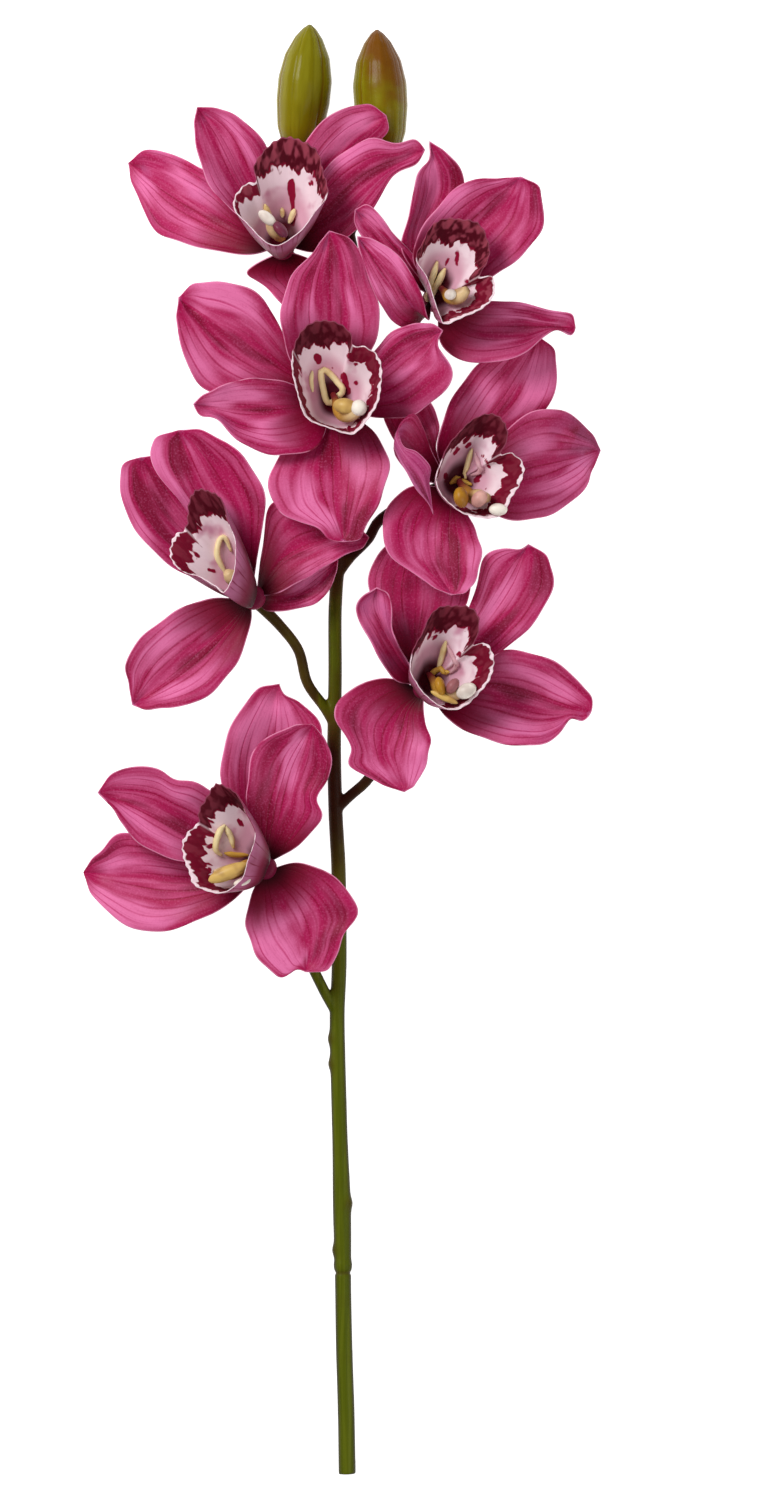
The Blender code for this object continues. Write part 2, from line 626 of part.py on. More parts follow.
def make_hub(name, heart, finish):
    shape = bmesh.new()
    bmesh.ops.create_icosphere(shape, subdivisions=2, radius=1)
    for vertex in shape.verts:
        x, y, z = vertex.co
        stretched = Vector((x * HUB_RADIUS, y * HUB_RADIUS, min(max(z, -HUB_FLAT), HUB_FLAT) * HUB_HEIGHT))
        vertex.co = (stretched + Vector(heart)) * MM
    mesh = bpy.data.meshes.new(name)
    shape.to_mesh(mesh)
    shape.free()
    return new_object(name, mesh, finish)


def make_petals(number, flower, finish):
    name = f"flower_{number}_petals"
    blades = []
    for petal in flower["petals"]:
        def place(up, side, petal=petal):
            return petal_point(flower, petal, up, side)

        rows = petal.get("rows", PETAL_ROWS)
        blades.append(sheet("blade", rows, PETAL_COLUMNS, place, finish))
    return joined(name, make_hub("hub", flower["heart"], finish), blades)


def make_lip(number, flower, finish):
    def place(up, around):
        return lip_point(flower, up, around % 1)

    return sheet(f"flower_{number}_lip", LIP_ROWS, LIP_COLUMNS, place, finish)


def make_callus(number, flower, finish):
    """A ridge that lies on the lip all along."""
    line = []
    for place in smooth([(*point, 0) for point in flower["callus"]], CALLUS_POINTS):
        spot, normal = lip_spot(flower, place.x, place.y)
        line.append(spot + normal * (BLADE / 2 + LIP_SEAT_GAP + CALLUS_RADIUS))
    return round_bar(f"flower_{number}_callus", line, (0.8, CALLUS_RADIUS, CALLUS_RADIUS, 0.8), finish, 6)


def make_column(number, flower, finish):
    """The column, whose foot stands in the lip's throat, a little to the open side."""
    throat = lip_point(flower, 0, 0)
    open_side = (lip_point(flower, 0.5, 0) + lip_point(flower, 0.5, 0.5)) / 2 - throat
    place = throat.xy + open_side.xy.normalized() * FOOT_SHIFT
    spot, normal = lip_spot(flower, *place)
    foot = spot + normal * (BLADE / 2 + LIP_SEAT_GAP)
    turn = foot + normal * STALK_TURN
    line = [foot, *smooth([turn, *flower["column"]], COLUMN_POINTS)]
    return round_bar(f"flower_{number}_column", line, COLUMN_RADII, finish)


def make_bud(number, bud, finish):
    base, tip = Vector(bud["base"]), Vector(bud["tip"])
    axis = (tip - base).normalized()
    sideways = axis.cross(Vector((0, 0, 1))).normalized()
    upwards = sideways.cross(axis)
    shape = bmesh.new()
    rings = []
    for share, radius in BUD_PROFILE:
        ring = []
        for k in range(BUD_SIDES):
            angle = 2 * math.pi * k / BUD_SIDES
            reach = radius * (1 + BUD_RIDGE * math.cos(3 * angle + number))
            spoke = sideways * math.cos(angle) + upwards * math.sin(angle)
            ring.append(shape.verts.new((base.lerp(tip, share) + spoke * reach) * MM))
        rings.append(ring)
    for lower, upper in zip(rings, rings[1:]):
        for k in range(BUD_SIDES):
            after = (k + 1) % BUD_SIDES
            shape.faces.new((lower[k], lower[after], upper[after], upper[k]))
    shape.faces.new(rings[0][::-1])
    shape.faces.new(rings[-1])
    bmesh.ops.recalc_face_normals(shape, faces=shape.faces)
    mesh = bpy.data.meshes.new(f"bud_{number}")
    shape.to_mesh(mesh)
    shape.free()
    return new_object(f"bud_{number}", mesh, finish)


def stem_radii():
    count = len(STEM_LINE)
    radii = [STEM_BASE_RADIUS + (STEM_TOP_RADIUS - STEM_BASE_RADIUS) * i / (count - 1) for i in range(count)]
    radii[NODE_RING_AT] *= NODE_RING_BULGE
    return radii


def make_stem(finish):
    """The stem, its flower stalks and its bud stalks, which grew as one piece."""
    trunk = as_mesh(round_bar("trunk", smooth(STEM_LINE, STEM_POINTS), stem_radii(), finish, 10))
    stalks = []
    for pedicel in PEDICELS:
        heart = Vector(FLOWERS[pedicel["flower"] - 1]["heart"])
        seat = heart - Vector((0, 0, HUB_FLAT * HUB_HEIGHT + SEAT_GAP))
        turn = seat - Vector((0, 0, STALK_TURN))
        line = [*smooth([*pedicel["line"], turn], STALK_POINTS), seat]
        radii = (PEDICEL_RADIUS, PEDICEL_RADIUS, PEDICEL_RADIUS, 1.2 * PEDICEL_RADIUS)
        stalks.append(as_mesh(round_bar("stalk", line, radii, finish)))
    for line, bud in zip(BUD_STALKS, BUDS):
        base, tip = Vector(bud["base"]), Vector(bud["tip"])
        axis = (tip - base).normalized()
        turn = base - axis * STALK_TURN
        line = [*smooth([*line, turn], STALK_POINTS), base - axis * SEAT_GAP]
        stalks.append(as_mesh(round_bar("stalk", line, BUD_STALK_RADII, finish)))
    return joined("stem", trunk, stalks)


def main():
    clear_scene()
    magenta = material("petal magenta", MAGENTA, 0.45)
    pink = material("lip pink", LIP_PINK, 0.4)
    yellow = material("callus yellow", CALLUS_YELLOW, 0.4)
    cream = material("column cream", COLUMN_CREAM, 0.35)
    green = material("stem green", STEM_GREEN, 0.5)
    bud_green = material("bud green", BUD_GREEN, 0.4)
    for number, flower in enumerate(FLOWERS, 1):
        make_petals(number, flower, magenta)
        make_lip(number, flower, pink)
        make_callus(number, flower, yellow)
        make_column(number, flower, cream)
    for number, bud in enumerate(BUDS, 1):
        make_bud(number, bud, bud_green)
    make_stem(green)


main()
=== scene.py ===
# %% [markdown]
# # A cymbidium orchid spray, dressed for the camera
#
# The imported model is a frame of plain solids: seven flowers, two buds and one branching stem,
# laid on a table. This lesson replaces each solid by a finer piece of the same form, and gives
# every piece a finish that is drawn by nodes. The flowers come one by one, because on a real
# spray no two of them open alike.

import math

import bpy
import numpy as np
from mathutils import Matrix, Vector


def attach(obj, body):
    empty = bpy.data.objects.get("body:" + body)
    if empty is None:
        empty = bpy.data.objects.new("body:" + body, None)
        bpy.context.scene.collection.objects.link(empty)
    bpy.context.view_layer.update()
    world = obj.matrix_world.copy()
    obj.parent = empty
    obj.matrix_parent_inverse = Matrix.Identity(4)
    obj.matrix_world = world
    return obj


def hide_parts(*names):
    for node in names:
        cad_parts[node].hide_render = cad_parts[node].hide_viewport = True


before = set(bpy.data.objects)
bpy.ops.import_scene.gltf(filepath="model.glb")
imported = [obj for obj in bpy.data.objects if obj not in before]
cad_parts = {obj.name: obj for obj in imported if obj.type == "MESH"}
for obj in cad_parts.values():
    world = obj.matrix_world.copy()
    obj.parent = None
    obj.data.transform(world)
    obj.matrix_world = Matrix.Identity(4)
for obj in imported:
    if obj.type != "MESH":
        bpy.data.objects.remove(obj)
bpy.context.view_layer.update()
MM = 0.001
print("nodes in the frame:", len(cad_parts))

# %% [markdown]
# ## Camera
#
# The spray lies on its back and the camera hangs straight above it, as over a copy stand. A
# wide lens close by would swell the flowers, which stand higher than the stem. A long lens far
# away keeps them in proportion, so the lens is long and the camera is six metres up.

# %% Hang the camera over the spray
VIEW_CENTRE = (16.6, 0, 30)
VIEW_LENGTH = 600
LENS = 360
SENSOR = 36

bpy.ops.object.select_all(action="DESELECT")
camera_height = VIEW_LENGTH * LENS / SENSOR + VIEW_CENTRE[2]
bpy.ops.object.camera_add(location=(VIEW_CENTRE[0] * MM, VIEW_CENTRE[1] * MM, camera_height * MM))
camera = bpy.context.object
camera.data.lens = LENS
camera.data.sensor_width = SENSOR
bpy.context.scene.camera = camera
print("camera height in metres:", round(camera.location.z, 3))

# %% [markdown]
# ## Floor and light
#
# A florist photographs a spray on a light table, so that its shadows vanish and its edges stand
# out crisp on white. The floor here is such a table: pale, and glowing a little itself. The world
# gives an even light from all round. Two broad area lights model the petals, and the stronger
# one stands at the upper left. The tone curve is the standard one, so that white stays white.

# %% Lay the floor
FLOOR_SIZE = 8
TABLE_GREY = (0.5, 0.5, 0.5, 1)
TABLE_GLOW = 1.0
bpy.ops.object.select_all(action="DESELECT")
bpy.ops.mesh.primitive_plane_add(size=FLOOR_SIZE)
floor = bpy.context.object
floor.name = "floor"
floor_paint = bpy.data.materials.new("light table")
floor_paint.use_nodes = True
floor_shader = floor_paint.node_tree.nodes["Principled BSDF"]
floor_shader.inputs["Base Color"].default_value = TABLE_GREY
floor_shader.inputs["Roughness"].default_value = 0.9
floor_shader.inputs["Specular IOR Level"].default_value = 0.1
floor_shader.inputs["Emission Color"].default_value = (1, 1, 1, 1)
floor_shader.inputs["Emission Strength"].default_value = TABLE_GLOW
floor.data.materials.append(floor_paint)
print("floor laid, metres across:", FLOOR_SIZE)

# %% Light the spray
WORLD_LIGHT = 0.30
LIGHTS = (
    dict(name="key", place=(-0.85, 0.8, 1.1), size=0.7, watts=19),
    dict(name="fill", place=(0.95, -0.45, 1.0), size=1.0, watts=6.5),
)
world = bpy.data.worlds.new("studio")
world.use_nodes = True
world.node_tree.nodes["Background"].inputs["Color"].default_value = (1, 1, 1, 1)
world.node_tree.nodes["Background"].inputs["Strength"].default_value = WORLD_LIGHT
bpy.context.scene.world = world
for light in LIGHTS:
    aim = (Vector((0, 0, 0)) - Vector(light["place"])).to_track_quat("-Z", "Y").to_euler()
    bpy.ops.object.light_add(type="AREA", location=light["place"], rotation=aim)
    bpy.context.object.name = light["name"]
    bpy.context.object.data.size = light["size"]
    bpy.context.object.data.energy = light["watts"]
bpy.context.scene.view_settings.view_transform = "Standard"
print("lights:", len(LIGHTS))

# %% [markdown]
# ## Short names for shader nodes
#
# A finish is a small net of nodes. Adding each node and link by hand is slow to read in code,
# so these helpers add one node each and hand back the socket that it gives out. An input may be
# a number, a colour or another node's output.

# %% Helpers that add one node each
def add(tree, kind, **settings):
    node = tree.nodes.new("ShaderNode" + kind)
    for key, value in settings.items():
        setattr(node, key, value)
    return node


def tree_of(*values):
    """The net of nodes that the first socket among the values belongs to."""
    return next(value.id_data for value in values if isinstance(value, bpy.types.NodeSocket))


def feed(socket, value):
    """Links another node's output to the socket, or gives the socket a value of its own."""
    if isinstance(value, bpy.types.NodeSocket):
        tree_of(socket).links.new(value, socket)
    else:
        socket.default_value = value


def feed_all(sockets, values):
    for socket, value in zip(sockets, values):
        feed(socket, value)


print("helpers for nodes: add, tree_of, feed, feed_all")

# %% Helpers for numbers
def calc(operation, *values):
    node = add(tree_of(*values), "Math", operation=operation)
    feed_all(node.inputs, values)
    return node.outputs[0]


def times(first, second):
    return calc("MULTIPLY", first, second)


def fade(value, start, end):
    """0 before start and 1 past end, with a soft change between. It falls if end is the lower."""
    node = add(tree_of(value), "MapRange", interpolation_type="SMOOTHSTEP")
    feed_all(node.inputs, (value, start, end))
    return node.outputs["Result"]


def stirred(value, stir, reach):
    """The value, moved up and down by a noise, by at most half the reach each way."""
    return calc("MULTIPLY_ADD", stir, reach, calc("SUBTRACT", value, reach / 2))


print("helpers for numbers: calc, times, fade, stirred")

# %% Helpers for colours, places and noise
def mix(mask, first, second, blend="MIX"):
    """first where the mask is 0 and second where it is 1, or second times first for MULTIPLY."""
    node = add(tree_of(mask), "Mix", data_type="RGBA", blend_type=blend)
    feed(node.inputs[0], mask)
    feed(node.inputs[6], (*first, 1) if isinstance(first, tuple) else first)
    feed(node.inputs[7], (*second, 1) if isinstance(second, tuple) else second)
    return node.outputs[2]


def place_of(x, y, z):
    node = add(tree_of(x, y, z), "CombineXYZ")
    feed_all(node.inputs, (x, y, z))
    return node.outputs[0]


def parts_of(vector):
    node = add(tree_of(vector), "SeparateXYZ")
    feed(node.inputs[0], vector)
    return node.outputs


def noise(vector, scale, detail=2.0):
    node = add(tree_of(vector), "TexNoise")
    feed(node.inputs["Vector"], vector)
    feed(node.inputs["Scale"], scale)
    feed(node.inputs["Detail"], detail)
    return node.outputs[0]


def from_mesh(tree, name):
    """A number that the mesh carries at each of its points."""
    return add(tree, "Attribute", attribute_name=name).outputs["Fac"]


print("helpers for pictures: mix, place_of, parts_of, noise, from_mesh")

# %% A new finish
COAT_ROUGHNESS = 0.3
BUMP_STRENGTH = 0.6


def new_finish(name, roughness, specular=0.4, sheen=0.0, coat=0.0):
    """A material with its fixed numbers set on the shader itself."""
    made = bpy.data.materials.new(name)
    made.use_nodes = True
    shader = made.node_tree.nodes["Principled BSDF"]
    shader.inputs["Roughness"].default_value = roughness
    shader.inputs["Specular IOR Level"].default_value = specular
    shader.inputs["Sheen Weight"].default_value = sheen
    shader.inputs["Coat Weight"].default_value = coat
    shader.inputs["Coat Roughness"].default_value = COAT_ROUGHNESS
    return made, made.node_tree, shader


def paint(shader, ground, *layers):
    """Lays each layer over the ground colour. A layer is a mask, its colour and maybe a blend."""
    colour = ground
    for mask, tint, *blend in layers:
        colour = mix(mask, colour, tint, *blend)
    feed(shader.inputs["Base Color"], colour)


def bump(shader, height, distance):
    node = add(tree_of(height), "Bump")
    node.inputs["Distance"].default_value = distance * MM
    node.inputs["Strength"].default_value = BUMP_STRENGTH
    feed(node.inputs["Height"], height)
    feed(shader.inputs["Normal"], node.outputs["Normal"])


print("helpers for finishes: new_finish, paint, bump")

# %% [markdown]
# ## Effects that several finishes share
#
# Petals, lips, buds and stems all have veins that run lengthwise, and all of them are made of
# living tissue with a fine uneven grain. Each effect is a node group, built once. A group puts
# out masks between 0 and 1, and each finish chooses its own colours for them.

# %% A group's sockets
def new_group(name, takes, gives):
    group = bpy.data.node_groups.new(name, "ShaderNodeTree")
    for label, kind, value in takes:
        socket = group.interface.new_socket(name=label, in_out="INPUT", socket_type="NodeSocket" + kind)
        if value is not None:
            socket.default_value = value
    for label in gives:
        group.interface.new_socket(name=label, in_out="OUTPUT", socket_type="NodeSocketFloat")
    inside = group.nodes.new("NodeGroupInput")
    outside = group.nodes.new("NodeGroupOutput")
    return group, inside.outputs, outside.inputs


def use_group(tree, group, **values):
    node = add(tree, "Group")
    node.node_tree = group
    for label, value in values.items():
        feed(node.inputs[label], value)
    return node.outputs


print("helpers for groups: new_group, use_group")

# %% Veins that run lengthwise
# Surface is a place on the piece's own map: x across it and y along it.
VEIN_HALF = 0.19
BANDS_PER_VEIN = 0.24
FIBRES_PER_VEIN = 5

veins, vein_in, vein_out = new_group(
    "lengthwise veins",
    [
        ("Surface", "Vector", None),
        ("Count", "Float", 10.0),
        ("Wander", "Float", 0.05),
        ("Seed", "Float", 0.0),
    ],
    ["Vein", "Streak", "Band", "Fibre"],
)
vein_x, vein_y, _ = parts_of(vein_in["Surface"])
wander_map = place_of(times(vein_x, 3), vein_y, vein_in["Seed"])
wander = noise(wander_map, 1.6, 1)
shift = times(calc("SUBTRACT", wander, 0.5), vein_in["Wander"])
vein_at = times(calc("ADD", vein_x, shift), vein_in["Count"])
vein_line = fade(calc("PINGPONG", vein_at, 0.5), VEIN_HALF, 0.0)
vein_map = place_of(vein_at, times(vein_y, 1.8), vein_in["Seed"])
vein_break = fade(noise(vein_map, 0.9, 1), 0.36, 0.6)
feed(vein_out["Vein"], times(vein_line, vein_break))
feed(vein_out["Streak"], fade(noise(vein_map, 1.1, 2), 0.4, 0.66))
band_x = times(vein_at, BANDS_PER_VEIN)
band_map = place_of(band_x, times(vein_y, 1.7), vein_in["Seed"])
feed(vein_out["Band"], noise(band_map, 1.0, 2))
fibre_map = place_of(times(vein_at, FIBRES_PER_VEIN), times(vein_y, 7), 2)
feed(vein_out["Fibre"], noise(fibre_map, 1.0, 2))
print("group:", veins.name)

# %% Fine grain of the tissue
# The cells of a petal are far smaller than a millimetre, and show as a faint mealy grain.
CLOUDS_PER_METRE = 110.0

grain, grain_in, grain_out = new_group("tissue grain", [("Size", "Float", 1.0)], ["Grain", "Cloud"])
grain_place = add(grain, "TexCoord").outputs["Object"]
cells = calc("DIVIDE", 1.0, times(grain_in["Size"], MM))
feed(grain_out["Grain"], noise(grain_place, cells))
feed(grain_out["Cloud"], noise(grain_place, CLOUDS_PER_METRE, 2))
print("group:", grain.name)

# %% [markdown]
# ## The finish of a petal
#
# A petal is deep magenta, and its colour runs lengthwise. Broad pink bands lie between its veins,
# brightest halfway along, and crimson bands lie beside them. The pink is partly the petal's own
# colour and partly a painted highlight, where the ridges between the veins catch the light. A
# dozen or so soft darker veins fan out from the root. The root sinks to a near-black crimson,
# which is painted shade where it lies under the lip. Where the petal bends down, a painted mauve
# sheen stands for the light it reflects, and its margin ends in a hair-thin pale line, a painted
# highlight on the rolled edge. All of this follows the petal, so it is drawn on the petal's own
# map: x from its left margin to its right, y from root to tip. Three numbers come from the mesh:
# how far a point is from the margin, in millimetres, so that the painted highlight on the margin
# is as thin on a broad petal as on a narrow one, how steep the petal is there, for the painted
# sheen, and the petal's own tone.

# %% Petal colours
PETAL_MID = (0.40, 0.003, 0.074)
PETAL_PALE = (0.88, 0.22, 0.47)
VEIN_TINT = (0.66, 0.20, 0.38)
PETAL_DEEP = (0.16, 0.0006, 0.014)
# Painted shade at the root of a petal, where it lies under the lip
PETAL_ROOT_SHADE = (0.030, 0.0006, 0.003)
# A painted sheen: the mauve that light reflects where the petal bends down
PETAL_SHEEN_MAUVE = (0.46, 0.11, 0.28)
# A painted highlight along the rolled margin of a petal
PETAL_RIM_HIGHLIGHT = (0.82, 0.27, 0.46)
PETAL_VEINS = 13.0
# How strongly each effect shows, from 0 to 1
STREAK_SHARE = 0.33
DEEP_SHARE = 0.72
SHEEN_SHARE = 0.45
FIBRE_SHARE = 0.3
VEIN_SHARE = 0.9
SPECKLE_SHARE = 0.16
MOTTLE_SHARE = 0.18
ROOT_SHARE = 0.9
RIM_HIGHLIGHT_SHARE = 0.8
print("petal colours are ready")

# %% The upper face of a petal
def petal_face(name, mid, pale, glow_share):
    made, tree, shader = new_finish(name, 0.42, 0.1)
    surface = add(tree, "UVMap", uv_map="UVMap").outputs[0]
    _, along_it, _ = parts_of(surface)
    lines = use_group(
        tree, veins, Surface=surface, Count=PETAL_VEINS, Wander=0.1, Seed=from_mesh(tree, "tone")
    )
    flesh = use_group(tree, grain, Size=0.7)
    before_tip = fade(along_it, 1.0, 0.84)
    halfway = times(fade(along_it, 0.14, 0.55), before_tip)
    # Pink bands between the veins: partly the petal's own pink, partly a painted highlight where the ridges
    # catch the light
    pink_and_highlight = calc("MULTIPLY_ADD", fade(lines["Band"], 0.47, 0.66), 0.95, 0.05)
    pink_and_highlight = times(halfway, pink_and_highlight)
    streak = times(lines["Streak"], halfway)
    deep = fade(lines["Band"], 0.46, 0.3)
    # A painted mauve sheen where the petal bends down and reflects the light
    steep = fade(from_mesh(tree, "steep"), 0.08, 0.4)
    steep = times(steep, fade(flesh["Cloud"], 0.36, 0.6))
    fibre = fade(lines["Fibre"], 0.48, 0.72)
    vein = times(lines["Vein"], before_tip)
    speckle = fade(flesh["Grain"], 0.5, 0.72)
    mottle = fade(flesh["Grain"], 0.46, 0.3)
    root = calc("MULTIPLY_ADD", calc("SUBTRACT", lines["Band"], 0.5), -0.5, along_it)
    margin = from_mesh(tree, "margin")
    # A painted highlight: a hair-thin pale line where the rolled margin catches the light
    rim_highlight = times(fade(margin, 0.55, 0.15), fade(flesh["Cloud"], 0.3, 0.55))
    paint(
        shader, mid,
        (times(pink_and_highlight, glow_share), pale),
        (times(streak, STREAK_SHARE * glow_share), pale),
        (times(deep, DEEP_SHARE), PETAL_DEEP),
        (times(steep, SHEEN_SHARE), PETAL_SHEEN_MAUVE),
        (times(fibre, FIBRE_SHARE), VEIN_TINT, "MULTIPLY"),
        (times(vein, VEIN_SHARE), VEIN_TINT, "MULTIPLY"),
        (times(speckle, SPECKLE_SHARE), pale),
        (times(mottle, MOTTLE_SHARE), VEIN_TINT, "MULTIPLY"),
        (times(fade(root, 0.5, 0.14), ROOT_SHARE), PETAL_DEEP),
        # Painted shade: near-black crimson at the root, under the lip
        (fade(along_it, 0.25, 0.05), PETAL_ROOT_SHADE),
        (times(rim_highlight, RIM_HIGHLIGHT_SHARE), PETAL_RIM_HIGHLIGHT),
    )
    relief = calc("SUBTRACT", times(flesh["Grain"], 0.5), lines["Vein"])
    bump(shader, relief, 0.12)
    return made


petal_front = petal_face("petal upper face", PETAL_MID, PETAL_PALE, 0.8)
print("finish:", petal_front.name)

# %% The back of a petal
# The back is duller and paler than the face, as if dusted, with the same veins showing through.
BACK_MID = (0.44, 0.045, 0.17)
BACK_PALE = (0.68, 0.24, 0.42)
petal_back = petal_face("petal back", BACK_MID, BACK_PALE, 0.6)
print("finish:", petal_back.name)

# %% [markdown]
# ## Curves that shape a petal
#
# A petal isn't an oval that was bent. It is wide or pinched, cupped or rolled back, as it had
# room to open. Each one is given by three guide lines from its root in the heart of the flower
# to its tip: left margin, midrib and right margin. A smooth curve runs through each line's
# points, and a second smooth curve runs across, from line to line. The same guide lines shape
# the solids of the frame, so the finer petals lie exactly where those are.

# %% A smooth curve through points
def hermite(start, end, leave, arrive, share):
    """A point on the cubic from start to end with those two tangents."""
    a = 2 * share**3 - 3 * share**2 + 1
    b = share**3 - 2 * share**2 + share
    c = -2 * share**3 + 3 * share**2
    d = share**3 - share**2
    return start * a + leave * b + end * c + arrive * d


def along(points, share, closed=False):
    """The point at a share of the way along the smooth curve through points."""
    knots = [Vector(point) for point in points]
    count = len(knots)
    spans = count if closed else count - 1
    lengths = [(knots[(i + 1) % count] - knots[i]).length for i in range(spans)]
    target = share * sum(lengths)
    span = 0
    while span < spans - 1 and target > lengths[span]:
        target -= lengths[span]
        span += 1
    here, there = knots[span], knots[(span + 1) % count]
    before = knots[span - 1] if closed or span > 0 else here * 2 - there
    after = knots[(span + 2) % count] if closed or span < spans - 1 else there * 2 - here
    return hermite(here, there, (there - before) / 2, (after - here) / 2, target / lengths[span])


def across(guides, place):
    """The point at place, 0 to 1, from the first guide point to the last, through all of them."""
    step = place * (len(guides) - 1)
    span = min(int(step), len(guides) - 2)
    here, there = guides[span], guides[span + 1]
    before = guides[span - 1] if span > 0 else here * 2 - there
    after = guides[span + 2] if span + 2 < len(guides) else there * 2 - here
    return hermite(here, there, (there - before) / 2, (after - here) / 2, step - span)


print("curves: along, across")

# %% A place on a petal
HUB_RADIUS = 5
ROOT_SHIFT = HUB_RADIUS / 4
RIB_DEPTH = 0.4
RIB_WIDTH = 0.035
CHANNELS = 8
CHANNEL_DEPTH = 0.07
MARGIN_ROLL = 0.8
TIP_ROUND = 0.28
TIP_ROUND_AT = 0.95
TIP_FULLNESS = 12
TIP_FOLD = 1.3
TIP_FOLD_AT = 0.91
TIP_SPAN = 0.05
FOLD_SIDE = 0.45
FOLD_WIDTH = 0.14
# Three waves move the margin. Each has its reach, and then how fast it turns along the petal and
# across it. The first one widens the petal and the others lift it.
SIDE_WAVE = 0.02
SIDE_PACE = (27, 5)
EDGE_WAVE = 0.8
EDGE_PACE = (14, 0)
FINE_WAVE = 0.4
FINE_PACE = (31, 3)


def hill(place, middle, width):
    """1 in the middle, falling softly to 0 on both sides of it."""
    return np.exp(-(((place - middle) / width) ** 2))


def wave(pace, up, side, start):
    return math.sin(pace[0] * up + pace[1] * side + start)


def petal_row(flower, petal, up, columns):
    """The points of one row of a petal, from its left margin to its right."""
    root = Vector(flower["heart"])
    tip = Vector(petal["tip"])
    root += (tip - root).normalized() * ROOT_SHIFT
    guides = [along([root, *petal[line], tip], up) for line in ("left", "rib", "right")]
    fullness = math.sin(math.pi * up)
    rounded = TIP_ROUND * hill(up, TIP_ROUND_AT, TIP_SPAN)
    fold = TIP_FOLD * hill(up, TIP_FOLD_AT, TIP_SPAN)
    row = []
    for i in range(columns + 1):
        side = i / columns
        point = across(guides, side)
        margin = abs(2 * side - 1) ** 3 * fullness
        point += (point - guides[1]) * rounded * (1 - up) * TIP_FULLNESS
        point += (point - guides[1]) * SIDE_WAVE * margin * wave(SIDE_PACE, up, side, tip.y)
        point.z += EDGE_WAVE * margin * wave(EDGE_PACE, up, side, tip.x)
        point.z += FINE_WAVE * margin**2 * wave(FINE_PACE, up, side, tip.y)
        point.z -= MARGIN_ROLL * margin**4
        point.z -= RIB_DEPTH * fullness * hill(side, 0.5, RIB_WIDTH)
        point.z -= fold * hill(side, FOLD_SIDE, FOLD_WIDTH)
        point.z += CHANNEL_DEPTH * fullness * math.cos(2 * math.pi * CHANNELS * side)
        row.append(point * MM)
    return row


print("channels along a petal:", CHANNELS)

# %% [markdown]
# ## A thin sheet with a map
#
# A grid primitive is the natural start for a petal: it has rows, columns and a ready map. Its
# corners are moved to their places in code. Where a whole row falls on one point, as at the tip,
# the doubles are merged. Solidify then gives it a wall, with the second finish on its back, and
# Subdivision Surface rounds its margin.

# %% Shape a grid into a sheet
BLADE = 0.6
SHEET_DOUBLES = 0.01


def gaps_along(points):
    """For each point of each row, how far it is from the row's first point, along the row."""
    steps = np.linalg.norm(np.diff(points, axis=1), axis=2)
    return np.concatenate([np.zeros((len(points), 1)), np.cumsum(steps, axis=1)], axis=1)


def carry(piece, label, values):
    """The piece's mesh carries a number at each of its points: one for all, or one for each."""
    held = piece.data.attributes.new(label, "FLOAT", "POINT")
    held.data.foreach_set("value", np.full(len(piece.data.vertices), values, np.float32))


def sheet(name, rows, columns, row_at, numbers_at, finishes):
    """row_at gives a row's points. numbers_at gives the numbers that the mesh carries."""
    places = np.array([row_at(i / rows, columns) for i in range(rows + 1)])
    bpy.ops.object.select_all(action="DESELECT")
    bpy.ops.mesh.primitive_grid_add(x_subdivisions=columns, y_subdivisions=rows, size=2, calc_uvs=True)
    made = bpy.context.object
    made.name = name
    flat = np.array([vertex.co[:2] for vertex in made.data.vertices])
    column = np.rint((flat[:, 0] + 1) / 2 * columns).astype(int)
    row = np.rint((flat[:, 1] + 1) / 2 * rows).astype(int)
    made.data.vertices.foreach_set("co", places[row, column].ravel())
    for label, values in numbers_at(places / MM).items():
        carry(made, label, values[row, column])
    for finish in finishes:
        made.data.materials.append(finish)
    bpy.ops.object.mode_set(mode="EDIT")
    bpy.ops.mesh.select_all(action="SELECT")
    bpy.ops.mesh.remove_doubles(threshold=SHEET_DOUBLES * MM)
    bpy.ops.object.mode_set(mode="OBJECT")
    wall = made.modifiers.new("Wall", "SOLIDIFY")
    wall.thickness = BLADE * MM
    wall.offset = 0
    wall.material_offset = 1
    bpy.ops.object.modifier_apply(modifier=wall.name)
    soft = made.modifiers.new("Soft margin", "SUBSURF")
    soft.levels = soft.render_levels = 1
    bpy.ops.object.modifier_apply(modifier=soft.name)
    bpy.ops.object.shade_smooth()
    return made


print("wall of a petal in mm:", BLADE)

# %% [markdown]
# ## From pieces to the frame
#
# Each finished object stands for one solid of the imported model. Petals, bars and lumps that belong
# to one solid are joined first. The place of the object is then applied to its mesh, so that it
# sits at the origin as the solid does.

# %% Join pieces and dress the frame with them
def pick(*things):
    """Selects only those things, and makes the first one active."""
    bpy.ops.object.select_all(action="DESELECT")
    for thing in things:
        thing.select_set(True)
    bpy.context.view_layer.objects.active = things[0]


def join(name, things):
    pick(*things)
    if len(things) > 1:
        bpy.ops.object.join()
    things[0].name = name
    return things[0]


def dress(piece, node):
    """The piece stands for the frame's node, which it hides."""
    pick(piece)
    bpy.ops.object.transform_apply(location=True, rotation=True, scale=True)
    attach(piece, "root")
    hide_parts(node)
    print(piece.name, "triangles:", sum(len(face.vertices) - 2 for face in piece.data.polygons))


print("helpers for whole pieces: pick, join, dress")

# %% [markdown]
# ## The petals of one flower
#
# Five petals meet in a small knob, the top of the flower's stalk. On the real flower three of
# them are sepals, but they look the same. Each petal carries its own tone, a number that moves
# its veins, so that no two are alike.

# %% Five petals and the knob they meet in
PETAL_ROWS = 36
PETAL_COLUMNS = 26
HUB_HEIGHT = 3.4
HUB_FLAT = 0.75
HUB_SEGMENTS = 32
HUB_RINGS = 20
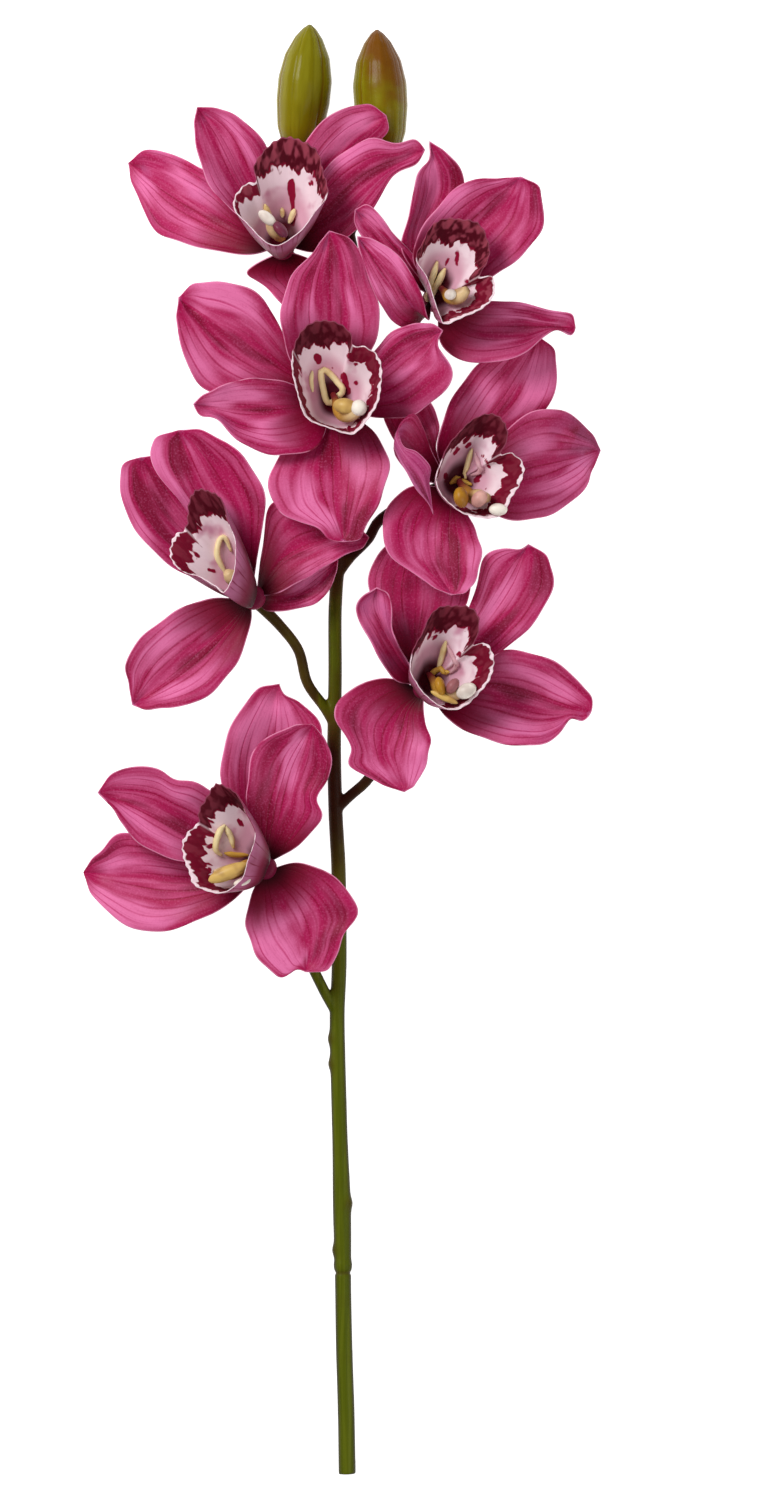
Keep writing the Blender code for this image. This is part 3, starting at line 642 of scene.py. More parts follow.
# What the knob carries in place of a petal's map and numbers
HUB_SPOT = (0.5, 0.2)
HUB_NUMBERS = {"margin": 9.0, "tone": 1.0, "steep": 0.0}
FLOWER_TONE = 3.7
PETAL_TONE = 1.9


def steepness(points):
    """0 where a sheet lies level and 1 where it stands upright."""
    facing = np.cross(np.gradient(points, axis=0), np.gradient(points, axis=1))
    return 1 - np.abs(facing[:, :, 2]) / np.maximum(np.linalg.norm(facing, axis=2), 1e-6)


def petal_numbers(number, which):
    def numbers(points):
        crosswise = gaps_along(points)
        lengthwise = gaps_along(points[::-1].transpose(1, 0, 2)).T[::-1]
        nearest = np.minimum(crosswise, crosswise[:, -1:] - crosswise)
        tone = np.full(crosswise.shape, number * FLOWER_TONE + which * PETAL_TONE)
        return {"margin": np.minimum(nearest, lengthwise), "tone": tone, "steep": steepness(points)}

    return numbers


def make_hub(heart):
    bpy.ops.object.select_all(action="DESELECT")
    bpy.ops.mesh.primitive_uv_sphere_add(segments=HUB_SEGMENTS, ring_count=HUB_RINGS, radius=1)
    hub = bpy.context.object
    for vertex in hub.data.vertices:
        x, y, z = vertex.co
        flat = min(max(z, -HUB_FLAT), HUB_FLAT)
        vertex.co = (Vector((x * HUB_RADIUS, y * HUB_RADIUS, flat * HUB_HEIGHT)) + Vector(heart)) * MM
    for layer in hub.data.uv_layers:
        layer.uv.foreach_set("vector", np.tile(HUB_SPOT, len(layer.uv)).astype(np.float32))
    for label, value in HUB_NUMBERS.items():
        carry(hub, label, value)
    hub.data.materials.append(petal_back)
    bpy.ops.object.shade_smooth()
    return hub


def make_petals(number, flower):
    blades = []
    for which, petal in enumerate(flower["petals"]):
        def row_at(up, columns, petal=petal):
            return petal_row(flower, petal, up, columns)

        rows = PETAL_ROWS + petal.get("more_rows", 0)
        numbers = petal_numbers(number, which)
        blades.append(sheet("blade", rows, PETAL_COLUMNS, row_at, numbers, (petal_front, petal_back)))
    piece = join(f"petals_{number}", [*blades, make_hub(flower["heart"])])
    dress(piece, f"flower_{number}_petals")


print("cells in a petal:", PETAL_ROWS * PETAL_COLUMNS)

# %% [markdown]
# ## The finish of a lip
#
# The lip is the flower's landing place for insects, and its markings show the way in. Its broad
# middle lobe has a velvety burgundy band along the margin, whose inner edge runs out in fingers
# with a crimson fringe. Near the rim, dusty red clouds on the velvet are a painted sheen, where
# the curled-back lobe catches the light. The two side lobes have a white margin with burgundy
# blotches behind it. Inside, the lip is a pale mauve pink, with a few spots, and its throat is
# nearly black. The mesh carries six numbers for this: how far a point is from the margin,
# whether it belongs to the middle lobe, how far the burgundy reaches in there, how wide the white
# margin is, how strong the painted sheen on the burgundy is, and how far the nearest spot is.

# %% Lip colours
LIP_WHITE = (0.90, 0.70, 0.76)
LIP_MAUVE = (0.62, 0.27, 0.38)
LIP_VELVET = (0.075, 0.001, 0.008)
LIP_CRIMSON = (0.26, 0.003, 0.030)
# A painted sheen on the velvet, where the curled-back lobe catches the light
LIP_VELVET_SHEEN = (0.30, 0.045, 0.075)
LIP_RIM = (0.34, 0.07, 0.13)
LIP_THROAT = (0.075, 0.002, 0.010)
print("lip colours are ready")

# %% Noises that run round a lip
BLOTCH = 4.2
KNOBS = 24
KNOB_SWAY = 4.0
LIP_GIRTH = 15


def on_ring(surface, radius, height):
    """A place on a closed ring, so that a noise read there has no seam."""
    around, _, _ = parts_of(surface)
    angle = times(around, 2 * math.pi)
    x, y = (times(calc(turn, angle), radius) for turn in ("COSINE", "SINE"))
    return place_of(x, y, height)


def blotches(surface, margin):
    """A noise on the lip in millimetres, so that its blots are as wide as they are high."""
    return noise(on_ring(surface, LIP_GIRTH, margin), 1 / BLOTCH, 0.0)


def knobs(surface, wander):
    """Rounded knobs side by side round the lip, from 0 in the notches to 1 on their tops."""
    around, _, _ = parts_of(surface)
    phase = calc("MULTIPLY_ADD", wander, KNOB_SWAY, times(around, math.pi * KNOBS))
    return calc("ABSOLUTE", calc("SINE", phase))


print("knobs round a lip:", KNOBS)

# %% The inside of a lip
# How far noises move the edges of the burgundy, the white and the spots, in mm
KNOB_REACH = 2.1
BLOT_REACH = 8.0
WHITE_REACH = 7.0
SPOT_REACH = 1.4
SOFT_EDGE = 0.35


def lip_inside():
    made, tree, shader = new_finish("lip inside", 0.5, 0.1)
    surface = add(tree, "UVMap", uv_map="UVMap").outputs[0]
    _, up, _ = parts_of(surface)
    margin = from_mesh(tree, "margin")
    middle = fade(from_mesh(tree, "middle"), 0.4, 0.6)
    side = calc("SUBTRACT", 1.0, middle)
    flesh = use_group(tree, grain, Size=0.5)
    small = noise(on_ring(surface, 3.0, times(up, 4.0)), 2.2, 1)
    blots = calc("SUBTRACT", blotches(surface, margin), 0.5)
    knob = times(knobs(surface, small), KNOB_REACH)
    reach = calc("ADD", knob, from_mesh(tree, "reach"))
    reach = calc("MULTIPLY_ADD", blots, BLOT_REACH, reach)
    inner = calc("SUBTRACT", reach, margin)
    burgundy = fade(inner, -SOFT_EDGE, SOFT_EDGE)
    past_white = calc("SUBTRACT", margin, from_mesh(tree, "white"))
    whites = stirred(past_white, small, WHITE_REACH)
    blotch = times(times(fade(whites, -0.3, 0.3), burgundy), side)
    spot = stirred(from_mesh(tree, "spot"), small, SPOT_REACH)
    mark = calc("MAXIMUM", times(burgundy, middle), blotch)
    mark = calc("MAXIMUM", mark, fade(spot, 0.2, -0.2))
    velvet = mix(fade(inner, 1.6, 0.1), LIP_VELVET, LIP_CRIMSON)
    velvet = mix(times(side, 0.5), velvet, LIP_CRIMSON)
    # A painted sheen: dusty red clouds near the rim, where the velvet catches the light
    velvet_sheen = times(fade(inner, 0.8, 3.4), fade(small, 0.42, 0.62))
    velvet = mix(times(velvet_sheen, from_mesh(tree, "velvet_sheen")), velvet, LIP_VELVET_SHEEN)
    rim = mix(middle, LIP_WHITE, LIP_RIM)
    paint(
        shader, LIP_MAUVE,
        (fade(flesh["Cloud"], 0.24, 0.48), LIP_WHITE),
        (times(fade(up, 0.6, 0.36), 0.8), LIP_MAUVE),
        (times(fade(margin, 6.0, 2.0), side), LIP_WHITE),
        (mark, velvet),
        (fade(up, 0.30, 0.12), LIP_THROAT),
        (times(fade(margin, 0.4, 0.1), 0.6), rim),
    )
    feed(shader.inputs["Roughness"], calc("MULTIPLY_ADD", mark, 0.2, 0.42))
    relief = calc("ADD", times(flesh["Grain"], 0.5), times(mark, 0.5))
    bump(shader, relief, 0.15)
    return made


lip_face = lip_inside()
print("finish:", lip_face.name)

# %% The outside of a lip
# The outer wall is mauve pink at the rim, with a flush that follows the veins, and burgundy at
# its foot.
OUTSIDE_PINK = (0.45, 0.13, 0.25)
OUTSIDE_FLUSH = (0.20, 0.010, 0.042)
OUTSIDE_FOOT = (0.045, 0.001, 0.006)
OUTSIDE_VEINS = 44.0


def lip_outside():
    made, tree, shader = new_finish("lip outside", 0.45, 0.15, sheen=0.05)
    surface = add(tree, "UVMap", uv_map="UVMap").outputs[0]
    _, up, _ = parts_of(surface)
    flesh = use_group(tree, grain, Size=0.5)
    lines = use_group(tree, veins, Surface=surface, Count=OUTSIDE_VEINS, Wander=0.03, Seed=3.0)
    flush = calc("MULTIPLY_ADD", lines["Vein"], 0.35, times(flesh["Cloud"], 0.9))
    paint(
        shader, OUTSIDE_PINK,
        (fade(flush, 0.35, 0.85), OUTSIDE_FLUSH),
        (fade(up, 0.92, 0.62), OUTSIDE_FLUSH),
        (fade(up, 0.72, 0.35), OUTSIDE_FOOT),
        (fade(from_mesh(tree, "margin"), 0.4, 0.1), LIP_RIM),
    )
    bump(shader, lines["Vein"], 0.1)
    return made


lip_back = lip_outside()
print("finish:", lip_back.name)

# %% [markdown]
# ## The shape of a lip
#
# A lip is a cup that stands on the knob and opens towards the camera. Its rim is a closed line
# with a dent on one side, where the middle lobe passes into the side lobe. Every row of the cup
# is the rim drawn in towards the throat, so a grid works here too, rolled up until its first and
# last columns meet. The margin is frilled, and rolls outwards a little.

# %% A place on a lip
SEAT_GAP = 0.3
LIP_LIFT = 0.6 * BLADE
CUP_FLARE = 0.2
CUP_ROUND = 0.7
CUP_LEAN = 1.5
SCALLOPS = 7
SCALLOP_REACH = 0.022
SCALLOP_START = 2.2


def lip_point(flower, up, around):
    """A point of a lip: up runs 0 to 1 from throat to rim, around 0 to 1 clockwise from the top."""
    foot = flower["heart"][2] + HUB_FLAT * HUB_HEIGHT + SEAT_GAP + LIP_LIFT
    throat = Vector((*flower["throat"], foot))
    rim = flower["rim"]
    mouth = sum((Vector(point) for point in rim), Vector()) / len(rim)
    spread = (1 - CUP_FLARE) * math.sin(math.pi / 2 * up) ** CUP_ROUND + CUP_FLARE * up**4
    scallop = 1 + SCALLOP_REACH * up**3 * math.cos(2 * math.pi * SCALLOPS * around + SCALLOP_START)
    centre = throat.lerp(mouth, up**CUP_LEAN)
    return centre + (along(rim, around, closed=True) - mouth) * spread * scallop


print("scallops round a lip:", SCALLOPS)

# %% A row of a lip
FRILLS = 31
FRILL_REACH = 0.013
FRILL_HEIGHT = 0.35
FRILL_SWAY = 1.5
FRILL_SWAYS = 3
FRILL_START = 1
LIP_ROLL = 1.1
LIP_ROLL_FROM = 0.86


def lip_row(flower, up, columns):
    """The points of one row of a lip, with its frills and its rolled margin."""
    throat = lip_point(flower, 0, 0)
    row = []
    for i in range(columns + 1):
        around = i % columns / columns
        point = lip_point(flower, up, around)
        sway = FRILL_SWAY * math.sin(2 * math.pi * FRILL_SWAYS * around)
        frill = 2 * math.pi * FRILLS * around + sway + FRILL_START
        outwards = point - throat
        point.x += outwards.x * FRILL_REACH * up**8 * math.cos(frill)
        point.y += outwards.y * FRILL_REACH * up**8 * math.cos(frill)
        point.z += FRILL_HEIGHT * up**6 * math.sin(frill)
        point.z -= LIP_ROLL * max(0, (up - LIP_ROLL_FROM) / (1 - LIP_ROLL_FROM)) ** 2
        row.append(point * MM)
    return row


print("frills round a lip:", FRILLS)

# %% The numbers that a lip carries
LOBE_EDGE = 0.04
BAND_WIDTH = 4.6
CROWN_WIDTH = 6.2
WHITE_LEAST = 0.1
WHITE_MORE = 2.4
FAR_FROM_SPOTS = 50.0


def rim_share(flower, index):
    """How far round the rim its point of that index is, from 0 to 1."""
    rim = [Vector(point) for point in flower["rim"]]
    steps = [(rim[(i + 1) % len(rim)] - rim[i]).length for i in range(len(rim))]
    return sum(steps[:index]) / sum(steps)


def spot_gaps(flower, points):
    """How far each point is from the nearest spot, in millimetres, and below 0 inside one."""
    gaps = np.full(points.shape[:2], FAR_FROM_SPOTS)
    for x, y, x_end, y_end, radius in flower["spots"]:
        begin = np.array((x, y))
        stroke = np.array((x_end, y_end)) - begin
        offset = points[:, :, :2] - begin
        share = np.clip(offset @ stroke / max(stroke @ stroke, 1e-6), 0, 1)
        away = np.linalg.norm(offset - share[:, :, None] * stroke, axis=2) - radius
        gaps = np.minimum(gaps, away)
    return gaps


def lip_numbers(flower):
    start, end = (rim_share(flower, index) for index in flower["middle_lobe"])

    def numbers(points):
        to_rim = gaps_along(points[::-1].transpose(1, 0, 2)).T[::-1]
        around = np.linspace(0, 1, points.shape[1])
        inside = np.minimum((around - start) % 1, (end - around) % 1)
        outside = np.minimum((start - around) % 1, (around - end) % 1)
        within = ((around - start) % 1) < ((end - start) % 1)
        from_edge = np.where(within, inside, -outside).clip(-LOBE_EDGE, LOBE_EDGE)
        crown = np.sin(np.pi * ((around - start) % 1) / ((end - start) % 1)) ** 2
        free = np.sin(np.pi * ((around - end) % 1) / ((start - end) % 1))
        rings = {
            "middle": 0.5 + from_edge * 0.5 / LOBE_EDGE,
            "reach": np.where(within, BAND_WIDTH + CROWN_WIDTH * crown, flower["side_band"]),
            "white": WHITE_LEAST + WHITE_MORE * np.abs(free) ** 3,
            "velvet_sheen": np.full(around.shape, flower["velvet_sheen"]),
        }
        rings = {label: np.tile(ring, (len(points), 1)) for label, ring in rings.items()}
        return {"margin": to_rim, "spot": spot_gaps(flower, points), **rings}

    return numbers


print("a lip carries: margin, spot, middle, reach, white, dust")

# %% One lip
LIP_ROWS = 18
LIP_COLUMNS = 130


def make_lip(number, flower):
    def row_at(up, columns):
        return lip_row(flower, up, columns)

    piece = sheet(f"lip_{number}", LIP_ROWS, LIP_COLUMNS, row_at, lip_numbers(flower), (lip_face, lip_back))
    dress(piece, f"flower_{number}_lip")


print("cells in a lip:", LIP_ROWS * LIP_COLUMNS)

# %% [markdown]
# ## Ridges and column
#
# One to three fleshy keels show in the middle of each lip. Most are pale yellow like butter. A
# few are tinted gold or mauve, which is painted shade where they lie in the shade of the lip. They
# are round bars that lie on the lip, so the code looks for the spot on the lip under each of their
# points. The column is the club in the middle of the flower. It is darkest at its foot, then
# golden, then cream. Round its end sit a few soft lumps, such as the cap over the pollen, each in
# a tint of its own: gold, yellow, cream, white, mauve or rose.

# %% The finish of the ridges
KEEL_YELLOW = (0.86, 0.70, 0.38)
# Gold also mottles the yellow keels. Gold and mauve as a keel's whole tint are painted shade, for keels in
# the lip's shade
KEEL_GOLD = (0.62, 0.36, 0.06)
KEEL_SHADE_MAUVE = (0.62, 0.34, 0.38)


def keel_finish():
    made, tree, shader = new_finish("ridge yellow", 0.38, 0.2, coat=0.05)
    flesh = use_group(tree, grain, Size=0.9)
    tint = from_mesh(tree, "tint")
    paint(
        shader, KEEL_YELLOW,
        (times(fade(flesh["Cloud"], 0.45, 0.75), 0.6), KEEL_GOLD),
        # Painted shade: the gold and mauve tints, for keels that lie in the shade of the lip
        (fade(tint, 0.4, 0.6), KEEL_GOLD),
        (fade(tint, 1.4, 1.6), KEEL_SHADE_MAUVE),
    )
    bump(shader, flesh["Grain"], 0.1)
    return made


keel_paint = keel_finish()
print("finish:", keel_paint.name)

# %% The finish of the column
COLUMN_FOOT = (0.16, 0.010, 0.014)
COLUMN_GOLD = (0.50, 0.25, 0.035)
COLUMN_CREAM = (0.72, 0.50, 0.26)
# The tints of the lumps round its end. The column's own tint is 0, and theirs count from 1.
CAP_TINTS = dict(
    gold=(0.47, 0.22, 0.015),
    yellow=(0.66, 0.42, 0.12),
    cream=(0.78, 0.42, 0.36),
    white=(0.94, 0.85, 0.75),
    mauve=(0.17, 0.028, 0.065),
    rose=(0.40, 0.15, 0.16),
)


def column_finish():
    made, tree, shader = new_finish("column", 0.35, 0.2, coat=0.05)
    flesh = use_group(tree, grain, Size=0.8)
    rise = stirred(from_mesh(tree, "rise"), flesh["Cloud"], 0.3)
    tint = from_mesh(tree, "tint")
    caps = [
        (fade(tint, number - 0.6, number - 0.4), shade)
        for number, shade in enumerate(CAP_TINTS.values(), 1)
    ]
    paint(
        shader, COLUMN_FOOT,
        (fade(rise, 0.1, 0.4), COLUMN_GOLD),
        (fade(rise, 0.5, 0.85), COLUMN_CREAM),
        *caps,
        (times(fade(flesh["Cloud"], 0.56, 0.4), 0.35), COLUMN_FOOT),
    )
    bump(shader, flesh["Grain"], 0.1)
    return made


column_paint = column_finish()
print("finish:", column_paint.name)

# %% The spot on a lip under a point
LIP_SEARCH = (0.12, 0.25, 0.4, 0.55, 0.7)
LIP_SEARCH_PLACES = 26
LIP_SEARCH_LOW = 0.15
LIP_SEARCH_ROUNDS = 8
LIP_SEARCH_STEP = 0.001
# The longest move of one round, and how low and how high on the lip the search may end
LONGEST_UP = 0.1
LONGEST_AROUND = 0.03
LIP_FLOOR = (0.02, 0.9)


def limited(value, low, high):
    return min(max(value, low), high)


def lip_spot(flower, x, y):
    """Where the lip's floor passes under the point x, y, and its normal there."""
    target = Vector((x, y))
    tries = [(up, i / LIP_SEARCH_PLACES) for up in LIP_SEARCH for i in range(LIP_SEARCH_PLACES)]

    def miss_of(place):
        point = lip_point(flower, *place)
        return (point.xy - target).length + LIP_SEARCH_LOW * point.z

    up, around = min(tries, key=miss_of)
    step = LIP_SEARCH_STEP
    for _ in range(LIP_SEARCH_ROUNDS):
        here = lip_point(flower, up, around)
        along_up = (lip_point(flower, up + step, around) - here) / step
        along_rim = (lip_point(flower, up, (around + step) % 1) - here) / step
        miss = target - here.xy
        area = along_up.xy.cross(along_rim.xy)
        up += limited(miss.cross(along_rim.xy) / area, -LONGEST_UP, LONGEST_UP)
        around += limited(along_up.xy.cross(miss) / area, -LONGEST_AROUND, LONGEST_AROUND)
        up = limited(up, *LIP_FLOOR)
        around %= 1
    normal = along_up.cross(along_rim).normalized()
    return here, normal if normal.z > 0 else -normal


print("search starts on a lip:", len(LIP_SEARCH) * LIP_SEARCH_PLACES)

# %% A round bar
BAR_SIDES = 16
BAR_DOUBLES = 0.001


def smooth(line, count, closed=False):
    """That many points, evenly spaced along the smooth curve through line."""
    steps = count if closed else count - 1
    return [along(line, i / steps, closed) for i in range(count)]


def bar(name, line, radii, finish, sides=BAR_SIDES, closed=False):
    """A round bar through the points of line, with its radius running through radii."""
    curve = bpy.data.curves.new(name, "CURVE")
    curve.dimensions = "3D"
    curve.bevel_depth = MM
    curve.bevel_resolution = sides // 2 - 2
    curve.use_fill_caps = not closed
    spline = curve.splines.new("POLY")
    spline.use_cyclic_u = closed
    spline.points.add(len(line) - 1)
    marks = [Vector((radius, 0, 0)) for radius in radii]
    for i, point in enumerate(spline.points):
        point.co = (*(line[i] * MM), 1)
        point.radius = across(marks, i / (len(line) - 1)).x
    curve.materials.append(finish)
    made = bpy.data.objects.new(name, curve)
    bpy.context.scene.collection.objects.link(made)
    pick(made)
    bpy.ops.object.convert(target="MESH")
    bpy.ops.object.mode_set(mode="EDIT")
    bpy.ops.mesh.select_all(action="SELECT")
    bpy.ops.mesh.remove_doubles(threshold=BAR_DOUBLES * MM)
    bpy.ops.mesh.normals_make_consistent(inside=False)
    bpy.ops.object.mode_set(mode="OBJECT")
    bpy.ops.object.shade_smooth()
    return made


print("sides of a plain bar:", BAR_SIDES)

# %% The ridges of one lip
KEEL_POINTS = 22
KEEL_SINK = 0.7
KEEL_SWELL = (0.35, 1, 1, 0.9, 0.4)
KEEL_RING = (1, 1, 1, 1)
# Gold and mauve here are painted shade, for keels that lie in the shade of the lip
KEEL_TINTS = ("yellow", "gold", "mauve")


def make_ridges(number, flower):
    bars = []
    for keel in flower["keels"]:
        radius = keel["radius"]
        closed = keel.get("closed", False)
        line = []
        for place in smooth([(*point, 0) for point in keel["line"]], KEEL_POINTS, closed):
            spot, normal = lip_spot(flower, place.x, place.y)
            line.append(spot + normal * (BLADE / 2 + radius * KEEL_SINK))
        radii = [radius * share for share in (KEEL_RING if closed else KEEL_SWELL)]
        bars.append(bar("keel", line, radii, keel_paint, closed=closed))
        carry(bars[-1], "tint", KEEL_TINTS.index(keel.get("tint", "yellow")))
    dress(join(f"ridges_{number}", bars), f"flower_{number}_callus")


print("points along a ridge:", KEEL_POINTS)

# %% The column of one flower
COLUMN_RADII = (1.1, 1.6, 2.6, 2.7, 3.1, 2.8, 1.6)
COLUMN_POINTS = 22
COLUMN_SIDES = 24
CAP_POINTS = 14
CAP_SIDES = 20
CAP_THIN = 0.06
FOOT_SHIFT = 1.8
STALK_TURN = 2.5
LIP_SEAT_GAP = 0.85


def make_cap(cap):
    """A soft lump from end to end of its line, like a grain of rice."""
    turns = [math.pi * i / (CAP_POINTS - 1) for i in range(CAP_POINTS)]
    line = [along(cap["line"], (1 - math.cos(turn)) / 2) for turn in turns]
    radii = [cap["radius"] * max(CAP_THIN, math.sin(turn)) for turn in turns]
    lump = bar("cap", line, radii, column_paint, sides=CAP_SIDES)
    carry(lump, "rise", 1)
    carry(lump, "tint", 1 + list(CAP_TINTS).index(cap["tint"]))
    return lump


def make_column(number, flower):
    throat = lip_point(flower, 0, 0)
    open_side = (lip_point(flower, 0.5, 0) + lip_point(flower, 0.5, 0.5)) / 2 - throat
    place = throat.xy + open_side.xy.normalized() * FOOT_SHIFT
    spot, normal = lip_spot(flower, *place)
    foot = spot + normal * BLADE / 2
    turn = foot + normal * (STALK_TURN + LIP_SEAT_GAP)
    line = [foot, *smooth([turn, *flower["column"]], COLUMN_POINTS)]
    club = bar("club", line, COLUMN_RADII, column_paint, sides=COLUMN_SIDES)
    points = np.array([vertex.co for vertex in club.data.vertices]) / MM
    nearest = np.linalg.norm(points[:, None] - np.array(line)[None], axis=2).argmin(axis=1)
    carry(club, "rise", nearest / (len(line) - 1))
    carry(club, "tint", 0)
    things = [club, *(make_cap(cap) for cap in flower["caps"])]
    dress(join(f"column_{number}", things), f"flower_{number}_column")


def make_flower(number, flower):
    make_petals(number, flower)
    make_lip(number, flower)
    make_ridges(number, flower)
    make_column(number, flower)


print("points along a column:", COLUMN_POINTS)

# %% [markdown]
# ## The flowers, one by one
#
# Every number below is in millimetres, from the middle of the spray. A flower gives its heart,
# then five petals by their guide lines, then its lip: the throat, the rim clockwise from the
# top, and which rim points the middle lobe spans. The side band is how far the burgundy reaches
# in on the side lobes, and the velvet sheen is how strongly a painted sheen shows on the
# burgundy, from 0 to 1. Spots are short strokes with a radius. The keels lie on the lip, and the
# caps sit at the column's end. A petal that folds over sharply asks for more rows.

# %% Flower 1: the top flower
FLOWER_1 = dict(
    heart=(-24, 201, 29),
    petals=[
        dict(
            tip=(-86, 236, 0.5),
            left=[(-37, 198, 30), (-56, 201, 24), (-74.5, 208, 12), (-82.7, 224, 4)],
            rib=[(-45, 210, 27), (-66, 225, 14)],
            right=[(-38, 214, 30), (-50, 229, 27), (-66, 238, 16), (-77, 241, 7)],
        ),
        dict(
            tip=(-58, 257, 38),
            left=[(-37, 210, 35), (-52, 224, 39), (-58.5, 242, 40)],
            rib=[(-36, 224, 33), (-47, 245, 35)],
            right=[(-26, 222, 32), (-30, 241, 38), (-43, 254, 39)],
        ),
        dict(
            tip=(18, 254, 28),
            left=[(-22, 224, 30), (-15, 243, 33), (-3, 255, 33), (9, 258, 30)],
            rib=[(-12, 226, 28), (3, 244, 28)],
            right=[(-7, 220, 27), (6, 234, 27), (17, 246, 26)],
        ),
        dict(
            tip=(33.5, 240, 31.5),
            left=[(-14, 222, 32), (-2, 237, 35), (11, 244.5, 36), (21, 242.6, 34.5), (29.5, 243.3, 32.5)],
            rib=[(-6, 214, 31), (12, 229, 33)],
            right=[(-9, 199, 31), (5, 207, 32), (13.6, 218, 33), (20.5, 229.5, 32.5), (29, 234, 31.5)],
        ),
        dict(
            tip=(0, 170, 21),
            left=[(-12, 196, 25), (2, 184, 23)],
            rib=[(-19, 188, 23), (-9, 178, 22)],
            right=[(-38, 192, 26), (-31, 185.5, 25), (-16, 172, 23)],
        ),
    ],
    throat=(-24, 204),
    rim=[
        (-20, 245, 43), (-11, 240, 44), (-7, 231, 47), (-6, 222, 50), (-10, 215, 52),
        (-18, 206, 53), (-25.5, 201, 53), (-34, 206, 53), (-42, 214.5, 52), (-42.5, 221, 51),
        (-38.5, 226, 50), (-34, 227, 48), (-35, 234, 46), (-29.5, 241, 44),
    ],
    column=[(-25, 205.5, 42), (-27, 208, 47), (-29, 211, 50)],
    middle_lobe=(11, 3),
    side_band=5.0,
    velvet_sheen=0.9,
    spots=[
        (-20.4, 226.8, -20.0, 221, 1.5), (-20.0, 221, -19.2, 210, 0.9),
        (-12, 226.6, -12, 226.6, 1.3), (-24, 215.7, -24, 215.7, 0.6), (-23.1, 213, -23.1, 213, 0.9),
    ],
    keels=[
        dict(line=[(-31.7, 218), (-30.5, 214.5), (-29, 211)], radius=1.2),
        dict(line=[(-24.2, 217), (-24, 215), (-24, 213)], radius=0.9),
        dict(line=[(-18.6, 216.5), (-19.8, 213.5), (-21, 210.5)], radius=1.2),
    ],
    caps=[
        dict(line=[(-26.2, 206.2, 49.6), (-23.0, 209.0, 50.2)], radius=4.0, tint="mauve"),
        dict(line=[(-33.0, 214.8, 49.5), (-26.6, 209.4, 51)], radius=2.3, tint="white"),
    ],
)
make_flower(1, FLOWER_1)

# %% Flower 2: the flower at the upper right
FLOWER_2 = dict(
    heart=(37, 180, 32),
    petals=[
        dict(
            tip=(35, 243.5, 36),
            left=[(24, 199, 33), (27, 215, 35), (30, 230, 35), (35, 236, 34)],
            rib=[(32, 205, 29), (38, 225, 29)],
            right=[(38, 202, 28), (47, 217, 29), (48, 232, 31)],
        ),
        dict(
            tip=(71.5, 229, 43),
            left=[(28, 198, 38), (38, 217, 41), (51, 227.5, 42), (65, 228, 41)],
            rib=[(48, 202, 35), (63, 217, 37)],
            right=[(50, 183, 35), (69, 195, 39), (80, 208, 42), (79, 223, 43)],
        ),
        dict(
            tip=(93.7, 169, 27),
            left=[(46, 178, 31), (61, 179.7, 33), (74, 178.5, 33), (83, 176, 31.5), (91, 174.5, 29)],
            rib=[(52, 171, 30), (72, 170, 29)],
            right=[(40, 161, 33), (55, 154.5, 35), (72, 158, 34), (80.5, 165, 32), (86, 168.3, 31),
                   (91.8, 166, 28.5)],
        ),
        dict(
            tip=(6, 205, 50),
            left=[(29, 168.5, 34), (19.5, 172, 40), (12.2, 184, 47), (7.8, 197, 50)],
            rib=[(29.5, 175, 40), (19.5, 189, 47)],
            right=[(34.8, 171.5, 41), (32.5, 180, 46), (28, 190, 48.5), (21, 198.8, 49.5), (13.5, 203, 50)],
        ),
        dict(
            tip=(5, 216, 37),
            left=[(22, 190, 34), (12, 200, 36), (6, 208, 37)],
            rib=[(25, 196, 32), (14, 208, 35)],
            right=[(30, 196, 33), (21, 206, 36), (12, 217, 38)],
        ),
    ],
    throat=(39, 183),
    rim=[
        (44, 212.5, 50), (54, 210, 50), (59, 202, 50), (58.5, 196, 50), (55, 189, 50),
        (60, 189, 51), (61, 185, 52), (59.5, 179.5, 53), (55, 175, 53), (47.5, 172.5, 53),
        (41, 169.5, 52), (39, 173, 50), (37, 180, 49), (33.5, 189, 49), (30, 196, 49),
        (32, 203, 49), (36, 209, 50),
    ],
    column=[(43.5, 180.5, 43), (46.5, 181, 47), (50, 183.5, 50)],
    middle_lobe=(14, 4),
    side_band=8.5,
    velvet_sheen=0.9,
    spots=[
        (42.6, 196, 41.4, 194.2, 0.6), (46, 199, 46, 194, 0.8), (50, 187, 50, 187, 0.9),
    ],
    keels=[
        dict(line=[(38, 195.7), (35.8, 188.4), (33.5, 181.1)], radius=1.25),
        dict(line=[(41.4, 192.9), (38.4, 186.8), (35.2, 180.5)], radius=1.35),
    ],
    caps=[
        dict(line=[(41.0, 180.8, 49.8), (45.6, 182.4, 49.8)], radius=2.2, tint="white"),
    ],
)
make_flower(2, FLOWER_2)

